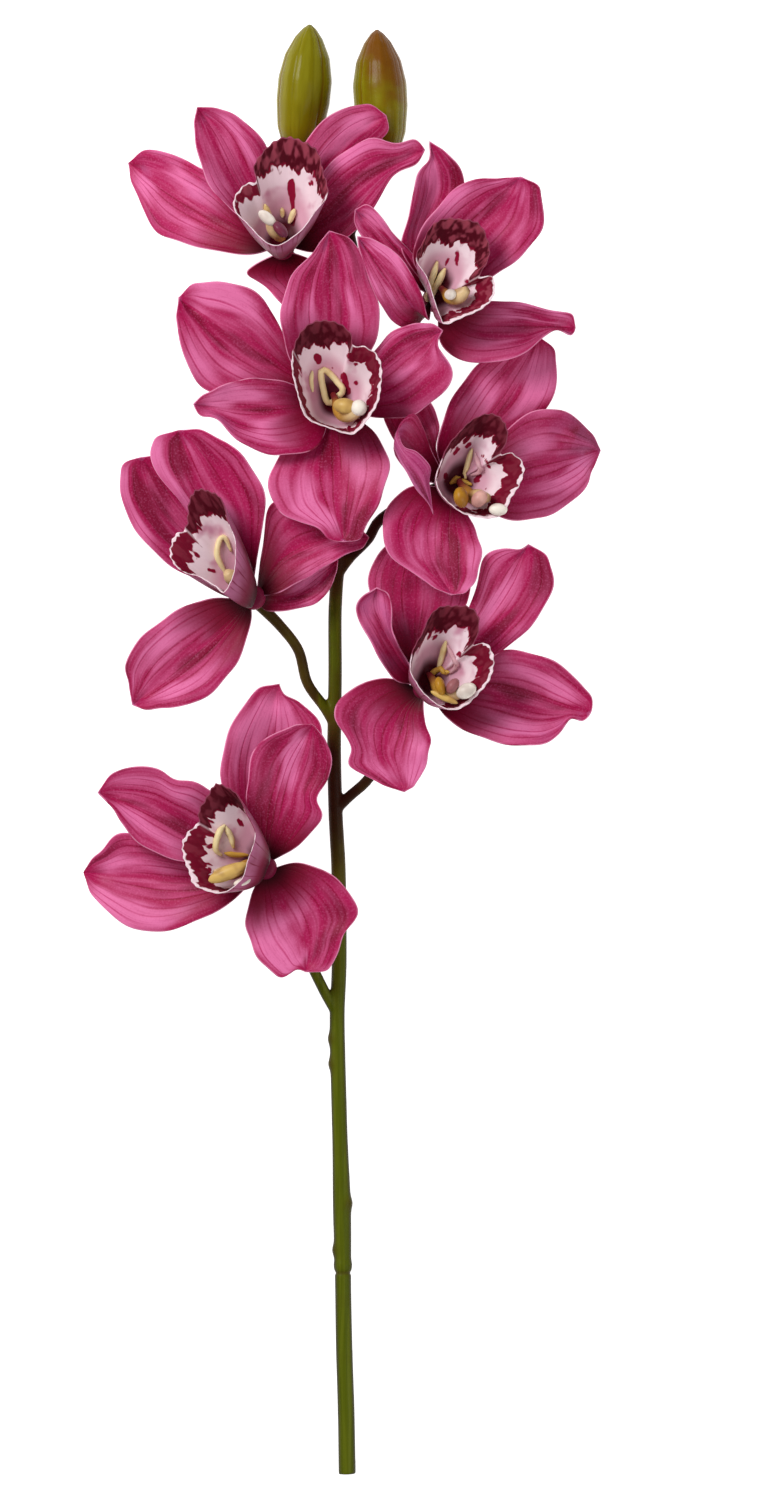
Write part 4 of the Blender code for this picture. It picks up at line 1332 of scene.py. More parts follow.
# %% Flower 3: the second flower from the top
FLOWER_3 = dict(
    heart=(-3, 140, 32),
    petals=[
        dict(
            tip=(-5, 207.5, 45),
            left=[(-19, 153, 38), (-24.5, 171, 43), (-21, 188, 45), (-11, 199, 45)],
            rib=[(-5, 163, 38), (-6, 186, 42)],
            right=[(9, 155, 37), (15.5, 171, 41), (11.5, 187, 43), (6, 201, 44)],
        ),
        dict(
            tip=(-65.5, 181, 31),
            left=[(-22, 143, 33), (-42, 140, 36), (-58, 147, 37), (-65, 164, 37)],
            rib=[(-24, 151, 31), (-46, 166, 32)],
            right=[(-20, 160, 33), (-31, 180, 37), (-45, 187, 37), (-58, 186, 34)],
        ),
        dict(
            tip=(-59.5, 138, 47),
            left=[(-9, 122, 38), (-25, 117.5, 43), (-40.5, 122.5, 46), (-49.5, 131.8, 46),
                  (-56.5, 133.8, 46.5)],
            rib=[(-21, 135, 37), (-41, 135, 41)],
            right=[(-16, 145, 38), (-30, 148.5, 43), (-44, 147, 46), (-54, 142, 47)],
        ),
        dict(
            tip=(0.5, 83, 40),
            left=[(13, 127, 34), (19, 114, 40), (15.5, 100, 43), (11, 91.5, 42.5), (6.5, 84.7, 41)],
            rib=[(-2, 117, 35), (-2, 98, 39)],
            right=[(-20, 124, 33), (-29, 110, 38), (-26.3, 96, 42), (-17.5, 91.3, 42.5), (-9, 88.3, 42),
                   (-4, 84, 41)],
        ),
        dict(
            tip=(40.5, 167.6, 42),
            left=[(8, 153, 34), (18.5, 166, 37), (28, 170.3, 40), (35.5, 169.8, 41.5)],
            rib=[(14, 148, 33), (29, 159, 37)],
            right=[(12, 133, 34), (30, 134.5, 37), (44.5, 149, 41), (38, 161.5, 42)],
        ),
    ],
    throat=(-3, 140),
    rim=[
        (-10, 171.5, 52), (-3, 171, 52), (3.5, 166, 53), (4.5, 161.5, 54), (9, 161, 56),
        (14, 157, 57), (16.3, 151, 57), (15.5, 144, 57), (13.5, 137, 56), (10, 130.5, 55),
        (5, 126.5, 54), (-1, 127, 54), (-8, 129, 54), (-14, 133, 55), (-17.5, 140, 56),
        (-19, 148, 56), (-20, 159, 55), (-16.5, 166, 53),
    ],
    column=[(0, 134, 44), (4.5, 134.5, 49), (8, 137.5, 52)],
    middle_lobe=(16, 3),
    side_band=7.5,
    velvet_sheen=0.35,
    spots=[
        (-9.9, 157, -9.5, 155.6, 1.5), (3.4, 157.2, 3.4, 157.2, 1.3), (5.8, 154.2, 5.8, 154.2, 0.9),
        (6.0, 146.6, 6.0, 146.6, 1.1), (-3.6, 152.9, -3.6, 152.9, 0.5), (0.8, 149.4, 2.4, 143, 1.3),
    ],
    keels=[
        dict(
            line=[(-8.8, 151.4), (-6.6, 152), (-3.4, 149.6), (0.8, 144.6), (-1, 141.6),
                  (-5.8, 138.6), (-8, 144)],
            radius=1.3,
            closed=True,
        ),
        dict(line=[(-12.4, 151.6), (-13, 147.5), (-12.4, 142.8)], radius=0.9),
    ],
    caps=[
        dict(line=[(3.5, 136.4, 51.5), (10.1, 136.4, 51.5)], radius=3.3, tint="white"),
        dict(line=[(-3.4, 137.8, 49), (6.0, 136.4, 51)], radius=3.2, tint="yellow"),
    ],
)
make_flower(3, FLOWER_3)

# %% Flower 4: the flower at the right
FLOWER_4 = dict(
    heart=(44, 106, 30),
    petals=[
        dict(
            tip=(79, 166, 14),
            left=[(38, 118, 31), (41, 134, 30), (51, 151, 26), (66, 162, 21)],
            rib=[(52, 124, 26), (67, 143, 21)],
            right=[(60, 121, 24), (80, 134, 18), (86, 147, 16), (85, 159, 15)],
        ),
        dict(
            tip=(104, 120.5, 0.5),
            left=[(58, 119, 32), (70, 132, 30), (84, 137, 24), (96, 131.5, 12)],
            rib=[(62, 111, 29), (84, 116, 17)],
            right=[(57, 96, 32), (72, 91.5, 28), (88, 96.5, 19), (98, 105.5, 10), (100.3, 113, 4.5)],
        ),
        dict(
            tip=(43.5, 61.8, 41),
            left=[(51, 93, 34), (55.7, 81, 39), (54, 69, 41), (50, 63.8, 41.3)],
            rib=[(37, 92, 34), (36, 77, 38)],
            right=[(26, 105, 33), (16.2, 92, 38), (18.9, 78, 41), (29, 70.2, 42), (37, 65, 41.5)],
        ),
        dict(
            more_rows=14,
            tip=(36.5, 94, 43),
            left=[(31, 108, 34), (26, 111.5, 37), (21.3, 117, 41), (21, 120.5, 45), (23.5, 114.5, 49),
                  (26, 110.3, 50), (30, 103.5, 49), (34.3, 98.8, 47)],
            rib=[(35, 113, 34.5), (29, 122, 38.5), (23.5, 127, 42.5), (21.3, 124, 47), (25.5, 116, 51.5),
                 (30, 110, 52), (33.5, 103, 50)],
            right=[(36.2, 119, 35), (33, 127.5, 38), (28.5, 134.5, 42), (22.8, 129, 46), (24.5, 121, 49.5),
                   (30, 119, 51), (35.4, 113, 50.5), (34.8, 108, 49.5), (35.4, 101, 48)],
        ),
        dict(
            tip=(20, 143, 22),
            left=[(31, 114, 28), (21, 124, 26), (16.5, 134, 24)],
            rib=[(34, 122, 26), (26, 134, 23)],
            right=[(37.5, 120, 27), (39, 131, 26), (32, 143, 23.5)],
        ),
    ],
    throat=(46, 107),
    rim=[
        (60.5, 134.5, 47), (65, 131, 48), (66, 124, 49), (63.5, 118, 50), (68, 118.5, 51),
        (72.5, 113, 52), (71.5, 106, 52), (67, 100, 51), (65, 94.5, 50), (60, 92, 50),
        (53, 93.5, 50), (47, 95, 50), (42, 99, 50), (38.5, 105, 51), (37.5, 110, 51),
        (40, 116, 50), (45, 125, 49), (51, 131, 48),
    ],
    column=[(51, 101.5, 42), (54.5, 101, 46), (58.5, 100.5, 49)],
    middle_lobe=(15, 3),
    side_band=8.5,
    velvet_sheen=0.3,
    spots=[
        (56.5, 117.6, 59.1, 112.5, 0.6), (49.8, 121.3, 51, 122.3, 0.9),
        (53.8, 107.6, 55, 109.4, 1.1), (44.9, 118.7, 46.2, 120.6, 0.8),
        (41.2, 110, 41.6, 107.5, 0.9), (43.3, 104.3, 43.3, 104.3, 0.9),
        (57.9, 104.3, 57.9, 104.3, 0.6),
    ],
    keels=[
        dict(line=[(52.4, 120.7), (50.9, 114.9), (49.4, 109)], radius=1.1),
        dict(line=[(53.5, 119.1), (55.5, 112), (51.9, 110)], radius=0.95, tint="mauve"),
        dict(line=[(42.8, 106.4), (46.3, 107.9), (52.4, 105.9)], radius=1.2, tint="gold"),
    ],
    caps=[
        dict(line=[(44.6, 100.2, 49.8), (50.4, 101.2, 50.4)], radius=4.2, tint="gold"),
        dict(line=[(52.6, 102.0, 49.6), (57.0, 98.2, 50.4)], radius=3.7, tint="cream"),
        dict(line=[(58.6, 96.0, 49.5), (66.0, 95.8, 49.5)], radius=2.5, tint="white"),
    ],
)
make_flower(4, FLOWER_4)

# %% Flower 5: the flower at the left
FLOWER_5 = dict(
    heart=(-35.5, 61, 31),
    petals=[
        dict(
            tip=(-80.5, 117.3, 31),
            left=[(-50, 65, 32), (-70, 74.5, 32), (-84, 90, 32), (-88.8, 104, 32), (-86.5, 114, 31.5)],
            rib=[(-52, 78, 27.5), (-71, 98, 28)],
            right=[(-41, 83, 28), (-52, 103, 27.5), (-66, 116, 28.5)],
        ),
        dict(
            tip=(-65, 128, 40),
            left=[(-51, 80, 31.5), (-64, 98, 35.5), (-76, 114, 38), (-75, 123, 39)],
            rib=[(-46, 85, 32), (-57, 108, 36)],
            right=[(-33, 82, 36), (-30.5, 100, 40.5), (-38, 116, 42), (-52, 126, 42)],
        ),
        dict(
            tip=(11, 85, 32),
            left=[(-32, 80, 33), (-28, 99, 35), (-13, 100, 35), (2, 92.5, 33)],
            rib=[(-22, 79, 30), (-5, 86, 30)],
            right=[(-26, 62.5, 34), (-10, 71, 35), (-0.5, 77, 33.5), (7, 80.5, 32.5)],
        ),
        dict(
            tip=(-1.5, 76, 27),
            left=[(-24, 70, 28), (-10, 80, 27)],
            rib=[(-20, 63, 26), (-8, 71, 26)],
            right=[(-30, 55.5, 29), (-16, 56.8, 29), (-8, 60.3, 28.5), (-3.6, 67, 28)],
        ),
        dict(
            tip=(-84, 17.8, 34),
            left=[(-36.5, 50, 31), (-43, 33, 33), (-57, 19.5, 36), (-75, 16.5, 36)],
            rib=[(-50, 47, 30), (-70, 30, 32)],
            right=[(-54, 60.5, 34), (-70, 53.5, 36), (-82.5, 42.5, 37), (-86.8, 33.5, 36.5),
                   (-84.6, 25.5, 35.5)],
        ),
    ],
    throat=(-37, 63.5),
    rim=[
        (-55.6, 104.6, 45), (-50.4, 102.4, 48), (-47, 97, 51), (-45, 90, 54), (-42.7, 83, 56),
        (-42.3, 76, 56), (-44, 69, 55), (-47, 62.5, 53), (-51, 66, 50.5), (-56.5, 69, 48),
        (-62, 70.5, 46.5), (-66.5, 74, 46), (-69, 79, 45), (-67, 85.5, 44), (-62.5, 88.5, 44),
        (-61.5, 98, 43), (-59, 103, 43),
    ],
    column=[(-41.5, 67, 41), (-44, 69, 43.5), (-46, 71, 45.5)],
    middle_lobe=(14, 3),
    side_band=9.0,
    velvet_sheen=0.3,
    spots=[
        (-53.5, 72, -50.8, 71.3, 0.8), (-57.4, 76.1, -57.4, 76.1, 1.0),
    ],
    keels=[
        dict(line=[(-45.9, 69.8), (-50.3, 77.5), (-49.2, 84), (-46.4, 85.1), (-44.3, 79.6)], radius=1.2),
    ],
    caps=[],
)
make_flower(5, FLOWER_5)

# %% Flower 6: the flower at the lower right
FLOWER_6 = dict(
    heart=(33, 25, 30),
    petals=[
        dict(
            tip=(31, 86, 29),
            left=[(20, 44, 29), (12, 60, 31), (11, 72, 31), (18, 82, 30)],
            rib=[(28, 48, 27), (28, 68, 28)],
            right=[(40, 48, 28), (51, 60, 30), (48, 76, 30)],
        ),
        dict(
            tip=(74.5, 82.5, 38),
            left=[(44, 44, 34), (52, 60, 36), (56.5, 76.5, 37), (63, 80.5, 37), (71, 79.8, 37.5)],
            rib=[(52, 45, 32), (66, 64, 34)],
            right=[(60, 37, 33), (76, 50, 36), (84.5, 65, 38), (82, 76, 38)],
        ),
        dict(
            tip=(99.6, 14.5, 30),
            left=[(54, 37, 31), (67, 40, 32), (82, 37, 32), (94, 28.5, 30.5), (99.8, 19, 30)],
            rib=[(60, 23, 29), (84, 17, 27)],
            right=[(42, 12.5, 33), (58, 4, 37), (77, 1.5, 38), (86.5, 6, 35), (91.5, 12.8, 32.5),
                   (96.5, 11.8, 30.5)],
        ),
        dict(
            tip=(25, -17, 34),
            left=[(33, 13, 32), (35.5, 3, 35), (32, -10, 35)],
            rib=[(23, 16, 31), (17, 0, 33)],
            right=[(17, 29, 33), (0, 22, 36), (-2.9, 13.5, 36.5), (1.3, 5.5, 36), (3.7, 0, 35),
                   (2.6, -6, 34), (12, -11.7, 34)],
        ),
        dict(
            tip=(14, 65, 43),
            left=[(21, 28, 37), (12, 42, 43), (5.5, 57, 44)],
            rib=[(24, 35, 33), (16, 49, 35), (12, 58, 38)],
            right=[(26, 36, 36), (20.5, 47, 43), (19.5, 60, 43)],
        ),
    ],
    throat=(35, 28),
    rim=[
        (43, 58, 46), (50, 57.5, 47), (54.5, 53, 48), (54.5, 46, 49), (52.5, 42, 50),
        (57.5, 42.5, 51), (61, 37, 52), (60, 31, 52), (56, 24, 51), (51.5, 19, 50),
        (45, 16.5, 50), (38.5, 17.5, 50), (34, 21.5, 50), (30, 27, 51), (27, 31.5, 51),
        (28, 38, 51), (31.5, 46, 50), (34.5, 52.5, 48), (38.5, 56.5, 47),
    ],
    column=[(40, 23, 42), (44, 22.5, 46), (48.5, 23, 49)],
    middle_lobe=(15, 4),
    side_band=8.0,
    velvet_sheen=0.35,
    spots=[
        (47, 38.2, 47, 38.2, 1.1), (36.2, 44.8, 37.5, 45.7, 0.7),
    ],
    keels=[
        dict(line=[(41.9, 43.9), (40.4, 37.9), (39, 31.9)], radius=1.2),
        dict(line=[(42.4, 42.2), (45.9, 34.2), (43.6, 30.8)], radius=0.95, tint="mauve"),
        dict(line=[(34.4, 29.6), (39, 31.9), (43.6, 31.3)], radius=1.15, tint="gold"),
    ],
    caps=[
        dict(line=[(37.2, 25.0, 48.6), (41.2, 26.0, 49)], radius=3.8, tint="gold"),
        dict(line=[(42.4, 26.8, 48.8), (46.0, 24.2, 49.4)], radius=3.5, tint="rose"),
        dict(line=[(35.4, 23.4, 48), (46.2, 18.6, 49)], radius=1.4, tint="yellow"),
        dict(line=[(45.8, 21.6, 49.5), (53.4, 25.6, 49.5)], radius=3.0, tint="white"),
    ],
)
make_flower(6, FLOWER_6)

# %% Flower 7: the lowest flower
FLOWER_7 = dict(
    heart=(-31, -47, 29),
    petals=[
        dict(
            tip=(-98, -17, 32),
            left=[(-50, -45, 33), (-64, -44.5, 37), (-79, -39, 38), (-88, -29.5, 37), (-92, -22.3, 35)],
            rib=[(-56, -34, 31), (-77, -23, 31)],
            right=[(-46, -22, 34), (-57, -13.5, 36), (-66.5, -11.6, 36.5), (-74, -7.2, 36), (-88, -7.5, 35)],
        ),
        dict(
            tip=(-104, -49, 16),
            left=[(-42, -59, 29), (-58, -68.5, 28), (-79, -73, 25), (-96, -63, 20)],
            rib=[(-56, -52, 25), (-82, -50, 20)],
            right=[(-48, -43, 26), (-68, -37, 24), (-88, -33, 22), (-97, -41, 19)],
        ),
        dict(
            tip=(-25, 26.7, 28),
            left=[(-44, -26, 29), (-48.5, -11, 31), (-46, 6, 31), (-36, 22, 30)],
            rib=[(-32, -19, 26), (-29, 5, 26)],
            right=[(-19, -16, 25), (-8.5, -3, 26), (-8.5, 10, 27), (-16, 18.5, 28), (-23.4, 22, 28)],
        ),
        dict(
            tip=(-11.5, 10.5, 37),
            left=[(-37, -28, 32.6), (-38, -13, 37), (-34, 2, 39), (-22, 8.5, 39)],
            rib=[(-25, -29, 32), (-19, -8, 33)],
            right=[(-17, -38, 33), (-8, -27, 35), (-9.8, -19.5, 36), (-5.5, -11, 36.5), (-4, -2, 37)],
        ),
        dict(
            tip=(-14.5, -89, 32),
            left=[(-16, -45, 30), (0, -53, 33), (6.3, -65, 34), (0.8, -74, 34), (-2, -82, 34),
                  (-6, -87.5, 33)],
            rib=[(-21, -60, 30), (-14, -75, 31)],
            right=[(-36, -57, 31), (-38.5, -70, 34), (-34, -82.5, 34), (-25, -91, 34), (-18, -87.5, 33)],
        ),
    ],
    throat=(-33, -45),
    rim=[
        (-50, -13, 43), (-44.5, -15.5, 46), (-40, -21, 49), (-37, -27, 51), (-35, -33, 53),
        (-35.5, -39, 54), (-38, -45, 54), (-40.5, -52, 52), (-46, -56.5, 50), (-54, -56, 48),
        (-59.5, -54, 47), (-61, -48, 46), (-63.5, -42.5, 45), (-64, -37, 44), (-61, -32.5, 44),
        (-57.5, -29, 43), (-57.5, -24, 43), (-54, -19, 43),
    ],
    column=[(-41, -48, 41), (-46, -49, 44.5), (-51, -49.5, 46.5)],
    middle_lobe=(15, 4),
    side_band=9.0,
    velvet_sheen=0.35,
    spots=[
        (-41.1, -28.2, -40.2, -30, 0.9), (-53.1, -47.9, -53.1, -47.9, 1.1),
        (-55.7, -49.5, -55.7, -49.5, 0.9),
    ],
    keels=[
        dict(line=[(-47.1, -29.5), (-49.7, -33.1), (-50.9, -39.1), (-48.5, -42.1)], radius=1.3),
        dict(line=[(-46.9, -30.1), (-45, -34.6), (-43.7, -39.1)], radius=1.2),
        dict(line=[(-47.3, -40.9), (-42.5, -41.7), (-37.7, -42.1)], radius=1.1, tint="gold"),
    ],
    caps=[
        dict(line=[(-53.2, -52.2, 47), (-37.4, -45.6, 48)], radius=3.0, tint="yellow"),
        dict(line=[(-43.2, -53.6, 47.5), (-36.4, -51.6, 47.5)], radius=1.6, tint="white"),
    ],
)
make_flower(7, FLOWER_7)

# %% [markdown]
# ## Buds
#
# A bud is three green sepals folded over each other, like a closed tulip. They meet in faint
# seams, and each has a low keel down its back. The second bud is browner than the first. A
# sphere primitive already has poles at both ends and a ring of columns, so its points are moved
# to the bud's outline in code.

# %% The finish of a bud
BUD_GREEN = (0.185, 0.155, 0.001)
BUD_PALE = (0.28, 0.26, 0.015)
BUD_DARK = (0.095, 0.08, 0.001)
BUD_BROWN = (0.165, 0.058, 0.003)
BUD_VEINS = 16.0


def bud_finish():
    made, tree, shader = new_finish("bud green", 0.25, 0.1, coat=0.03)
    up = from_mesh(tree, "up")
    surface = place_of(from_mesh(tree, "side"), up, 0)
    flesh = use_group(tree, grain, Size=0.8)
    lines = use_group(tree, veins, Surface=surface, Count=BUD_VEINS, Wander=0.03, Seed=1.0)
    tip = calc("MULTIPLY_ADD", flesh["Cloud"], 0.5, from_mesh(tree, "brown"))
    paint(
        shader, BUD_GREEN,
        (times(lines["Streak"], 0.4), BUD_PALE),
        (times(lines["Vein"], 0.25), BUD_DARK),
        (times(fade(from_mesh(tree, "seam"), 1.1, 0.2), 0.45), BUD_BROWN),
        (fade(up, 0.2, 0.02), BUD_DARK),
        (fade(tip, 0.75, 1.15), BUD_BROWN),
    )
    bump(shader, calc("ADD", lines["Vein"], flesh["Grain"]), 0.12)
    return made


bud_paint = bud_finish()
print("finish:", bud_paint.name)

# %% Two buds
BUDS = (
    dict(base=(-18, 239, 12), tip=(-13, 291, 14), brown=0.35),
    dict(base=(17, 237, 12), tip=(14, 289, 13), brown=0.95),
)
BUD_PROFILE = (
    (0, 3.6), (0.07, 6.6), (0.2, 9.2), (0.4, 10.6), (0.58, 10.7), (0.76, 8.9), (0.9, 5.4), (1, 1.2),
)
SEPALS = 3
BUD_RIDGE = 0.05
BUD_SEGMENTS = 96
BUD_RINGS = 48
BUD_ENDS = 3
SEAM_DEPTH = 0.35
SEAM_WIDTH = 0.05
SEAM_SCALE = 10
BUD_KEEL_HEIGHT = 0.35
BUD_KEEL_WIDTH = 0.35
# The side of a bud that is browner than the rest, as an angle, and by how much
FLUSH_SIDE = 0.9
FLUSH_MORE = 0.25


def make_bud(number, bud):
    base, tip, brown = Vector(bud["base"]), Vector(bud["tip"]), bud["brown"]
    axis = (tip - base).normalized()
    sideways = axis.cross(Vector((0, 0, 1))).normalized()
    upwards = sideways.cross(axis)
    bpy.ops.object.select_all(action="DESELECT")
    bpy.ops.mesh.primitive_uv_sphere_add(segments=BUD_SEGMENTS, ring_count=BUD_RINGS, radius=1)
    made = bpy.context.object
    shares, radii = zip(*BUD_PROFILE)
    carried = {"side": [], "up": [], "seam": [], "brown": []}
    for vertex in made.data.vertices:
        x, y, z = vertex.co
        share = (z + 1) / 2
        angle = math.atan2(y, x)
        reach = float(np.interp(share, shares, radii)) * min(1, math.sqrt(max(0, 1 - z * z)) * BUD_ENDS)
        swell = 1 + BUD_RIDGE * math.cos(SEPALS * angle + number)
        phase = (SEPALS * angle + number + math.pi) % (2 * math.pi) - math.pi
        from_seam = (math.pi - abs(phase)) / SEPALS
        reach = reach * swell - SEAM_DEPTH * hill(from_seam, 0, SEAM_WIDTH)
        reach += BUD_KEEL_HEIGHT * hill(phase, 0, BUD_KEEL_WIDTH) * share
        spoke = sideways * math.cos(angle) + upwards * math.sin(angle)
        vertex.co = (base.lerp(tip, share) + spoke * max(reach, 0)) * MM
        carried["side"].append(angle / (2 * math.pi) + 0.5)
        carried["up"].append(share)
        carried["seam"].append(from_seam * SEAM_SCALE)
        carried["brown"].append(brown * share + FLUSH_MORE * brown * math.cos(angle - FLUSH_SIDE))
    for label, values in carried.items():
        carry(made, label, values)
    made.data.materials.append(bud_paint)
    bpy.ops.object.shade_smooth()
    made.name = f"bud_dressed_{number}"
    dress(made, f"bud_{number}")


for number, bud in enumerate(BUDS, 1):
    make_bud(number, bud)

# %% [markdown]
# ## Stem
#
# The stem and the flower stalks grew as one piece, so round bars are united into one body and
# then remeshed, which gives soft joints where a stalk leaves the stem. A fold and a low ring
# mark the node near the foot, and a few scars show where small leaves sat. They are moved into
# the surface in code, because they are too fine for the remesh.

# %% The finish of the stem
STEM_GREEN = (0.078, 0.098, 0.001)
STEM_PALE = (0.18, 0.20, 0.012)
# Painted shade down the sides of the stem, where they turn away from the light above
STEM_PAINTED_SHADE = (0.035, 0.030, 0.002)
STEM_BROWN = (0.032, 0.009, 0.003)
STEM_OLIVE = (0.07, 0.05, 0.005)
# How brown the stem is along its length: place in mm, then share
STEM_FLUSH = (
    (-291, 0.0), (-80, 0.05), (-60, 0.2), (-45, 0.6), (-26, 0.95), (-2, 0.95),
    (8, 0.6), (18, 0.2), (56, 0.15), (68, 0.6), (80, 1.0), (291, 1.0),
)
# The stalk that leaves it to the left above the middle is brown too. The brown sets in between
# two places to the left, and between two above, in mm.
STALK_BROWN = 0.72
STALK_LEFT = (-8, -11)
STALK_ABOVE = (0, 8)
# Veins read the stem at these many steps a metre, across it and along it.
STEM_MAP = (60, 9)
STEM_VEINS = 9.0


def flush_ramp(y):
    """The stem's brown share at y, read from its table by a colour ramp."""
    ramp = add(tree_of(y), "ValToRGB")
    marks = ramp.color_ramp.elements
    bottom, length = STEM_FLUSH[0][0], STEM_FLUSH[-1][0] - STEM_FLUSH[0][0]
    for i, (at, share) in enumerate(STEM_FLUSH):
        mark = marks[0] if i == 0 else marks.new((at - bottom) / length)
        mark.position = (at - bottom) / length
        mark.color = (share, share, share, 1)
    from_bottom = calc("SUBTRACT", y, bottom * MM)
    feed(ramp.inputs[0], calc("DIVIDE", from_bottom, length * MM))
    return ramp.outputs[0]


def stem_finish():
    made, tree, shader = new_finish("stem green", 0.4, 0.08)
    flesh = use_group(tree, grain, Size=0.7)
    x, y, _ = parts_of(add(tree, "TexCoord").outputs["Object"])
    surface = place_of(times(x, STEM_MAP[0]), times(y, STEM_MAP[1]), 0)
    lines = use_group(tree, veins, Surface=surface, Count=STEM_VEINS, Wander=0.2, Seed=5.0)
    left, above = (
        fade(value, start * MM, end * MM) for value, (start, end) in ((x, STALK_LEFT), (y, STALK_ABOVE))
    )
    aside = times(times(left, above), STALK_BROWN)
    flush = calc("MAXIMUM", flush_ramp(y), aside)
    brown = stirred(flush, flesh["Cloud"], 0.6)
    paint(
        shader, STEM_GREEN,
        (times(lines["Streak"], 0.35), STEM_PALE),
        # Painted shade: darker where the stem's surface turns away from the top
        (fade(from_mesh(tree, "crest"), 0.93, 0.35), STEM_PAINTED_SHADE),
        (fade(brown, 0.0, 0.55), STEM_OLIVE),
        (fade(brown, 0.45, 1.0), STEM_BROWN),
        (times(from_mesh(tree, "scar"), 0.7), STEM_OLIVE),
    )
    bump(shader, calc("ADD", lines["Fibre"], flesh["Grain"]), 0.12)
    return made


stem_paint = stem_finish()
print("finish:", stem_paint.name)

# %% The lines of the stem and its stalks
STEM_LINE = (
    (2, -291, 3.6), (1.6, -266, 3.7), (0.8, -240, 4), (0.3, -212, 4.3), (0.3, -207, 4.4),
    (-0.2, -180, 4.9), (-1.2, -145, 5.6), (-2, -108, 6.6), (-1.2, -86, 7.4), (-1.4, -50, 9),
    (-2.6, -26, 10.2), (-3.2, 0, 11.4), (-2.8, 30, 12.8), (-2.8, 56, 14), (-1.5, 76, 15),
    (0, 100, 16), (3, 130, 16), (6, 165, 15.5), (5, 195, 15), (0, 218, 14),
)
NODE_RING_AT = 4
NODE_RING_BULGE = 1.13
PEDICELS = (
    dict(flower=1, line=((4, 172, 15.5), (-6, 184, 18), (-19, 196, 21))),
    dict(flower=2, line=((3, 140, 16), (14, 155, 18), (29, 172, 23))),
    dict(flower=3, line=((-0.5, 98, 16), (-3, 117, 19), (-4, 133, 23))),
    dict(flower=4, line=((-2, 70, 14.7), (3, 77, 15), (10.4, 84.5, 16), (16, 93, 18), (33, 103, 21.5))),
    dict(
        flower=5,
        line=((-3, 10, 12), (-7, 17, 13), (-14, 27, 15), (-17.5, 40, 17.5), (-25, 50, 20), (-33, 58, 22.5)),
    ),
    dict(flower=6, line=((-2.5, -24, 10.3), (3, -18.5, 12), (11, -11, 14.5), (21, 5, 18), (29, 19, 21.5))),
    dict(flower=7, line=((-2, -106, 6.8), (-6, -99, 9), (-11, -89, 12), (-20, -70, 16), (-28, -54, 20))),
)
BUD_STALKS = (
    ((3, 207, 14.5), (-7, 220, 13.5), (-15, 231, 12.5)),
    ((3, 207, 14.5), (9, 219, 13.5), (15, 228, 12.5)),
)
print("stalks:", len(PEDICELS) + len(BUD_STALKS))

# %% Bars for the stem and its stalks
STEM_BASE_RADIUS = 3.5
STEM_TOP_RADIUS = 2.4
STEM_SIDES = 24
PEDICEL_RADIUS = 2.2
PEDICEL_SEAT = 1.2
BUD_STALK_RADII = (2.1, 2.1, 2.3, 3)
STALK_SIDES = 20
STEM_POINTS = 120
STALK_POINTS = 26
FLOWERS = (FLOWER_1, FLOWER_2, FLOWER_3, FLOWER_4, FLOWER_5, FLOWER_6, FLOWER_7)

last = len(STEM_LINE) - 1
taper = (STEM_TOP_RADIUS - STEM_BASE_RADIUS) / last
stem_radii = [STEM_BASE_RADIUS + taper * i for i in range(last + 1)]
stem_radii[NODE_RING_AT] *= NODE_RING_BULGE
trunk = bar("trunk", smooth(STEM_LINE, STEM_POINTS), stem_radii, stem_paint, sides=STEM_SIDES)
pedicel_radii = (PEDICEL_RADIUS, PEDICEL_RADIUS, PEDICEL_RADIUS, PEDICEL_SEAT * PEDICEL_RADIUS)
stalks = []
for pedicel in PEDICELS:
    heart = Vector(FLOWERS[pedicel["flower"] - 1]["heart"])
    seat = heart - Vector((0, 0, HUB_FLAT * HUB_HEIGHT + SEAT_GAP))
    turn = seat - Vector((0, 0, STALK_TURN))
    line = [*smooth([*pedicel["line"], turn], STALK_POINTS), seat + Vector((0, 0, 2 * SEAT_GAP))]
    stalks.append(bar("stalk", line, pedicel_radii, stem_paint, sides=STALK_SIDES))
for line, bud in zip(BUD_STALKS, BUDS):
    base, tip = Vector(bud["base"]), Vector(bud["tip"])
    axis = (tip - base).normalized()
    line = [*smooth([*line, base - axis * STALK_TURN], STALK_POINTS), base + axis * SEAT_GAP]
    stalks.append(bar("stalk", line, BUD_STALK_RADII, stem_paint, sides=STALK_SIDES))
print("bars:", 1 + len(stalks))

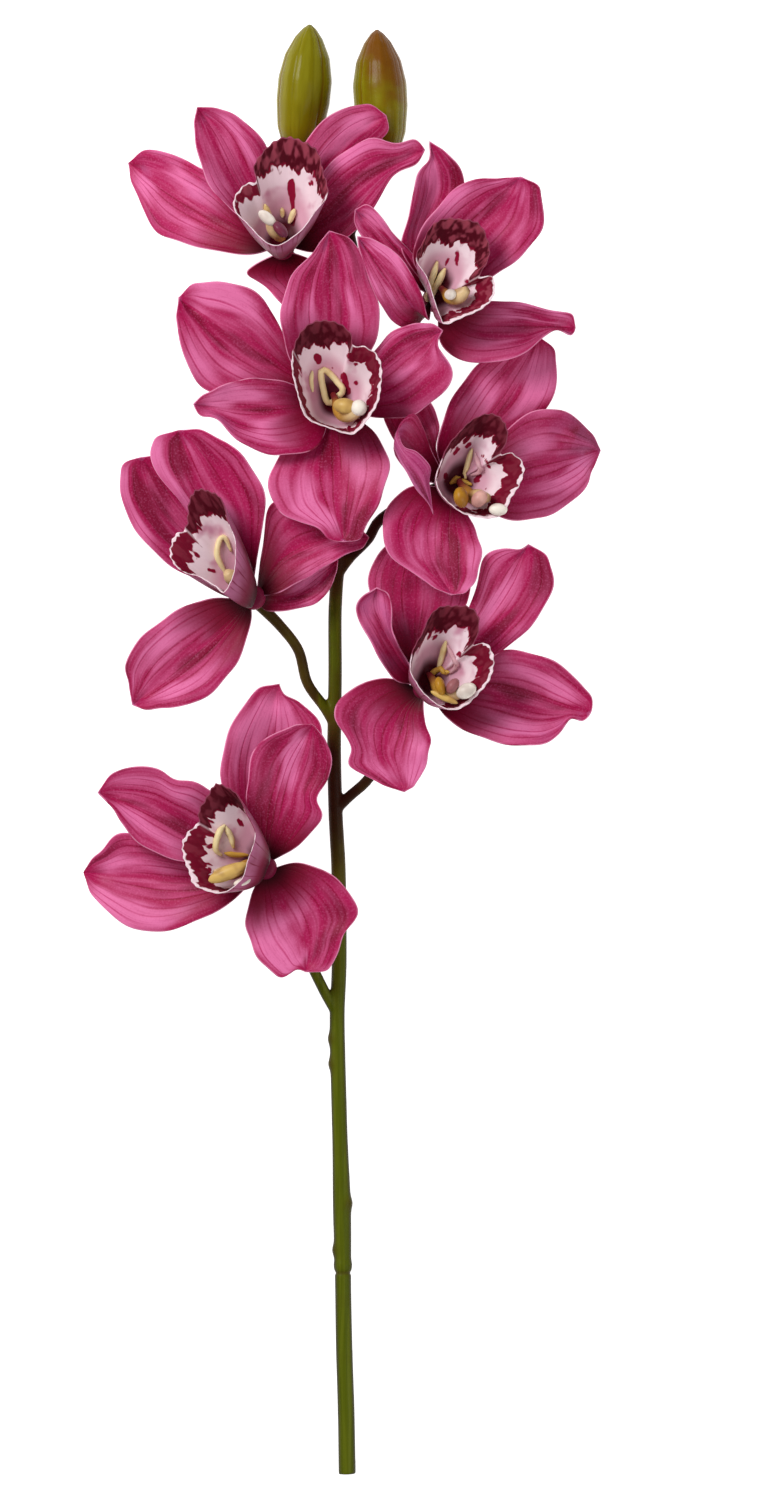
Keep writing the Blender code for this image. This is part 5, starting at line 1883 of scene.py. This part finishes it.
# %% Unite the bars and soften the joints
STEM_VOXEL = 0.6
SOFTEN_SHARE = 0.5
SOFTEN_ROUNDS = 6

stem = join("stem_dressed", [trunk, *stalks])
remesh = stem.modifiers.new("One skin", "REMESH")
remesh.mode = "VOXEL"
remesh.voxel_size = STEM_VOXEL * MM
bpy.ops.object.modifier_apply(modifier=remesh.name)
soften = stem.modifiers.new("Soft joints", "SMOOTH")
soften.factor = SOFTEN_SHARE
soften.iterations = SOFTEN_ROUNDS
bpy.ops.object.modifier_apply(modifier=soften.name)
bpy.ops.object.shade_smooth()
print("points in the stem:", len(stem.data.vertices))

# %% Press the node and the scars into the stem
# The fold of the node is pressed in and a low ring stands above it. Each scar gives its x and y,
# and its height.
NODE_FOLD = -210
NODE_DEPTH = 0.45
NODE_REACH = 0.7
NODE_STAIN = 0.8
NODE_RING_HEIGHT = 0.4
NODE_RING_ABOVE = 3
NODE_RING_REACH = 2
SCARS = ((-5, -116, 1), (-5, -126, 1), (-4, -201, 1.2), (3, -182, 1))
SCAR_WIDTH = 2.0
SCAR_LENGTH = 2.6
SCAR_HEIGHT = 0.8

points = np.empty(len(stem.data.vertices) * 3)
stem.data.vertices.foreach_get("co", points)
points = points.reshape(-1, 3) / MM
facing = np.empty(len(points) * 3)
stem.data.vertices.foreach_get("normal", facing)
facing = facing.reshape(-1, 3)
push = -NODE_DEPTH * hill(points[:, 1], NODE_FOLD, NODE_REACH)
push += NODE_RING_HEIGHT * hill(points[:, 1], NODE_FOLD + NODE_RING_ABOVE, NODE_RING_REACH)
scar = hill(points[:, 1], NODE_FOLD, NODE_STAIN)
for x, y, height in SCARS:
    away = hill(points[:, 0], x, SCAR_WIDTH) * hill(points[:, 1], y, SCAR_LENGTH)
    push += height * SCAR_HEIGHT * away
    scar = np.maximum(scar, away)
points += facing * push[:, None]
stem.data.vertices.foreach_set("co", (points * MM).ravel())
stem.data.update()
carry(stem, "scar", scar)
# How much the stem faces up, for its painted shade down the sides
carry(stem, "crest", facing[:, 2])
dress(stem, "stem")
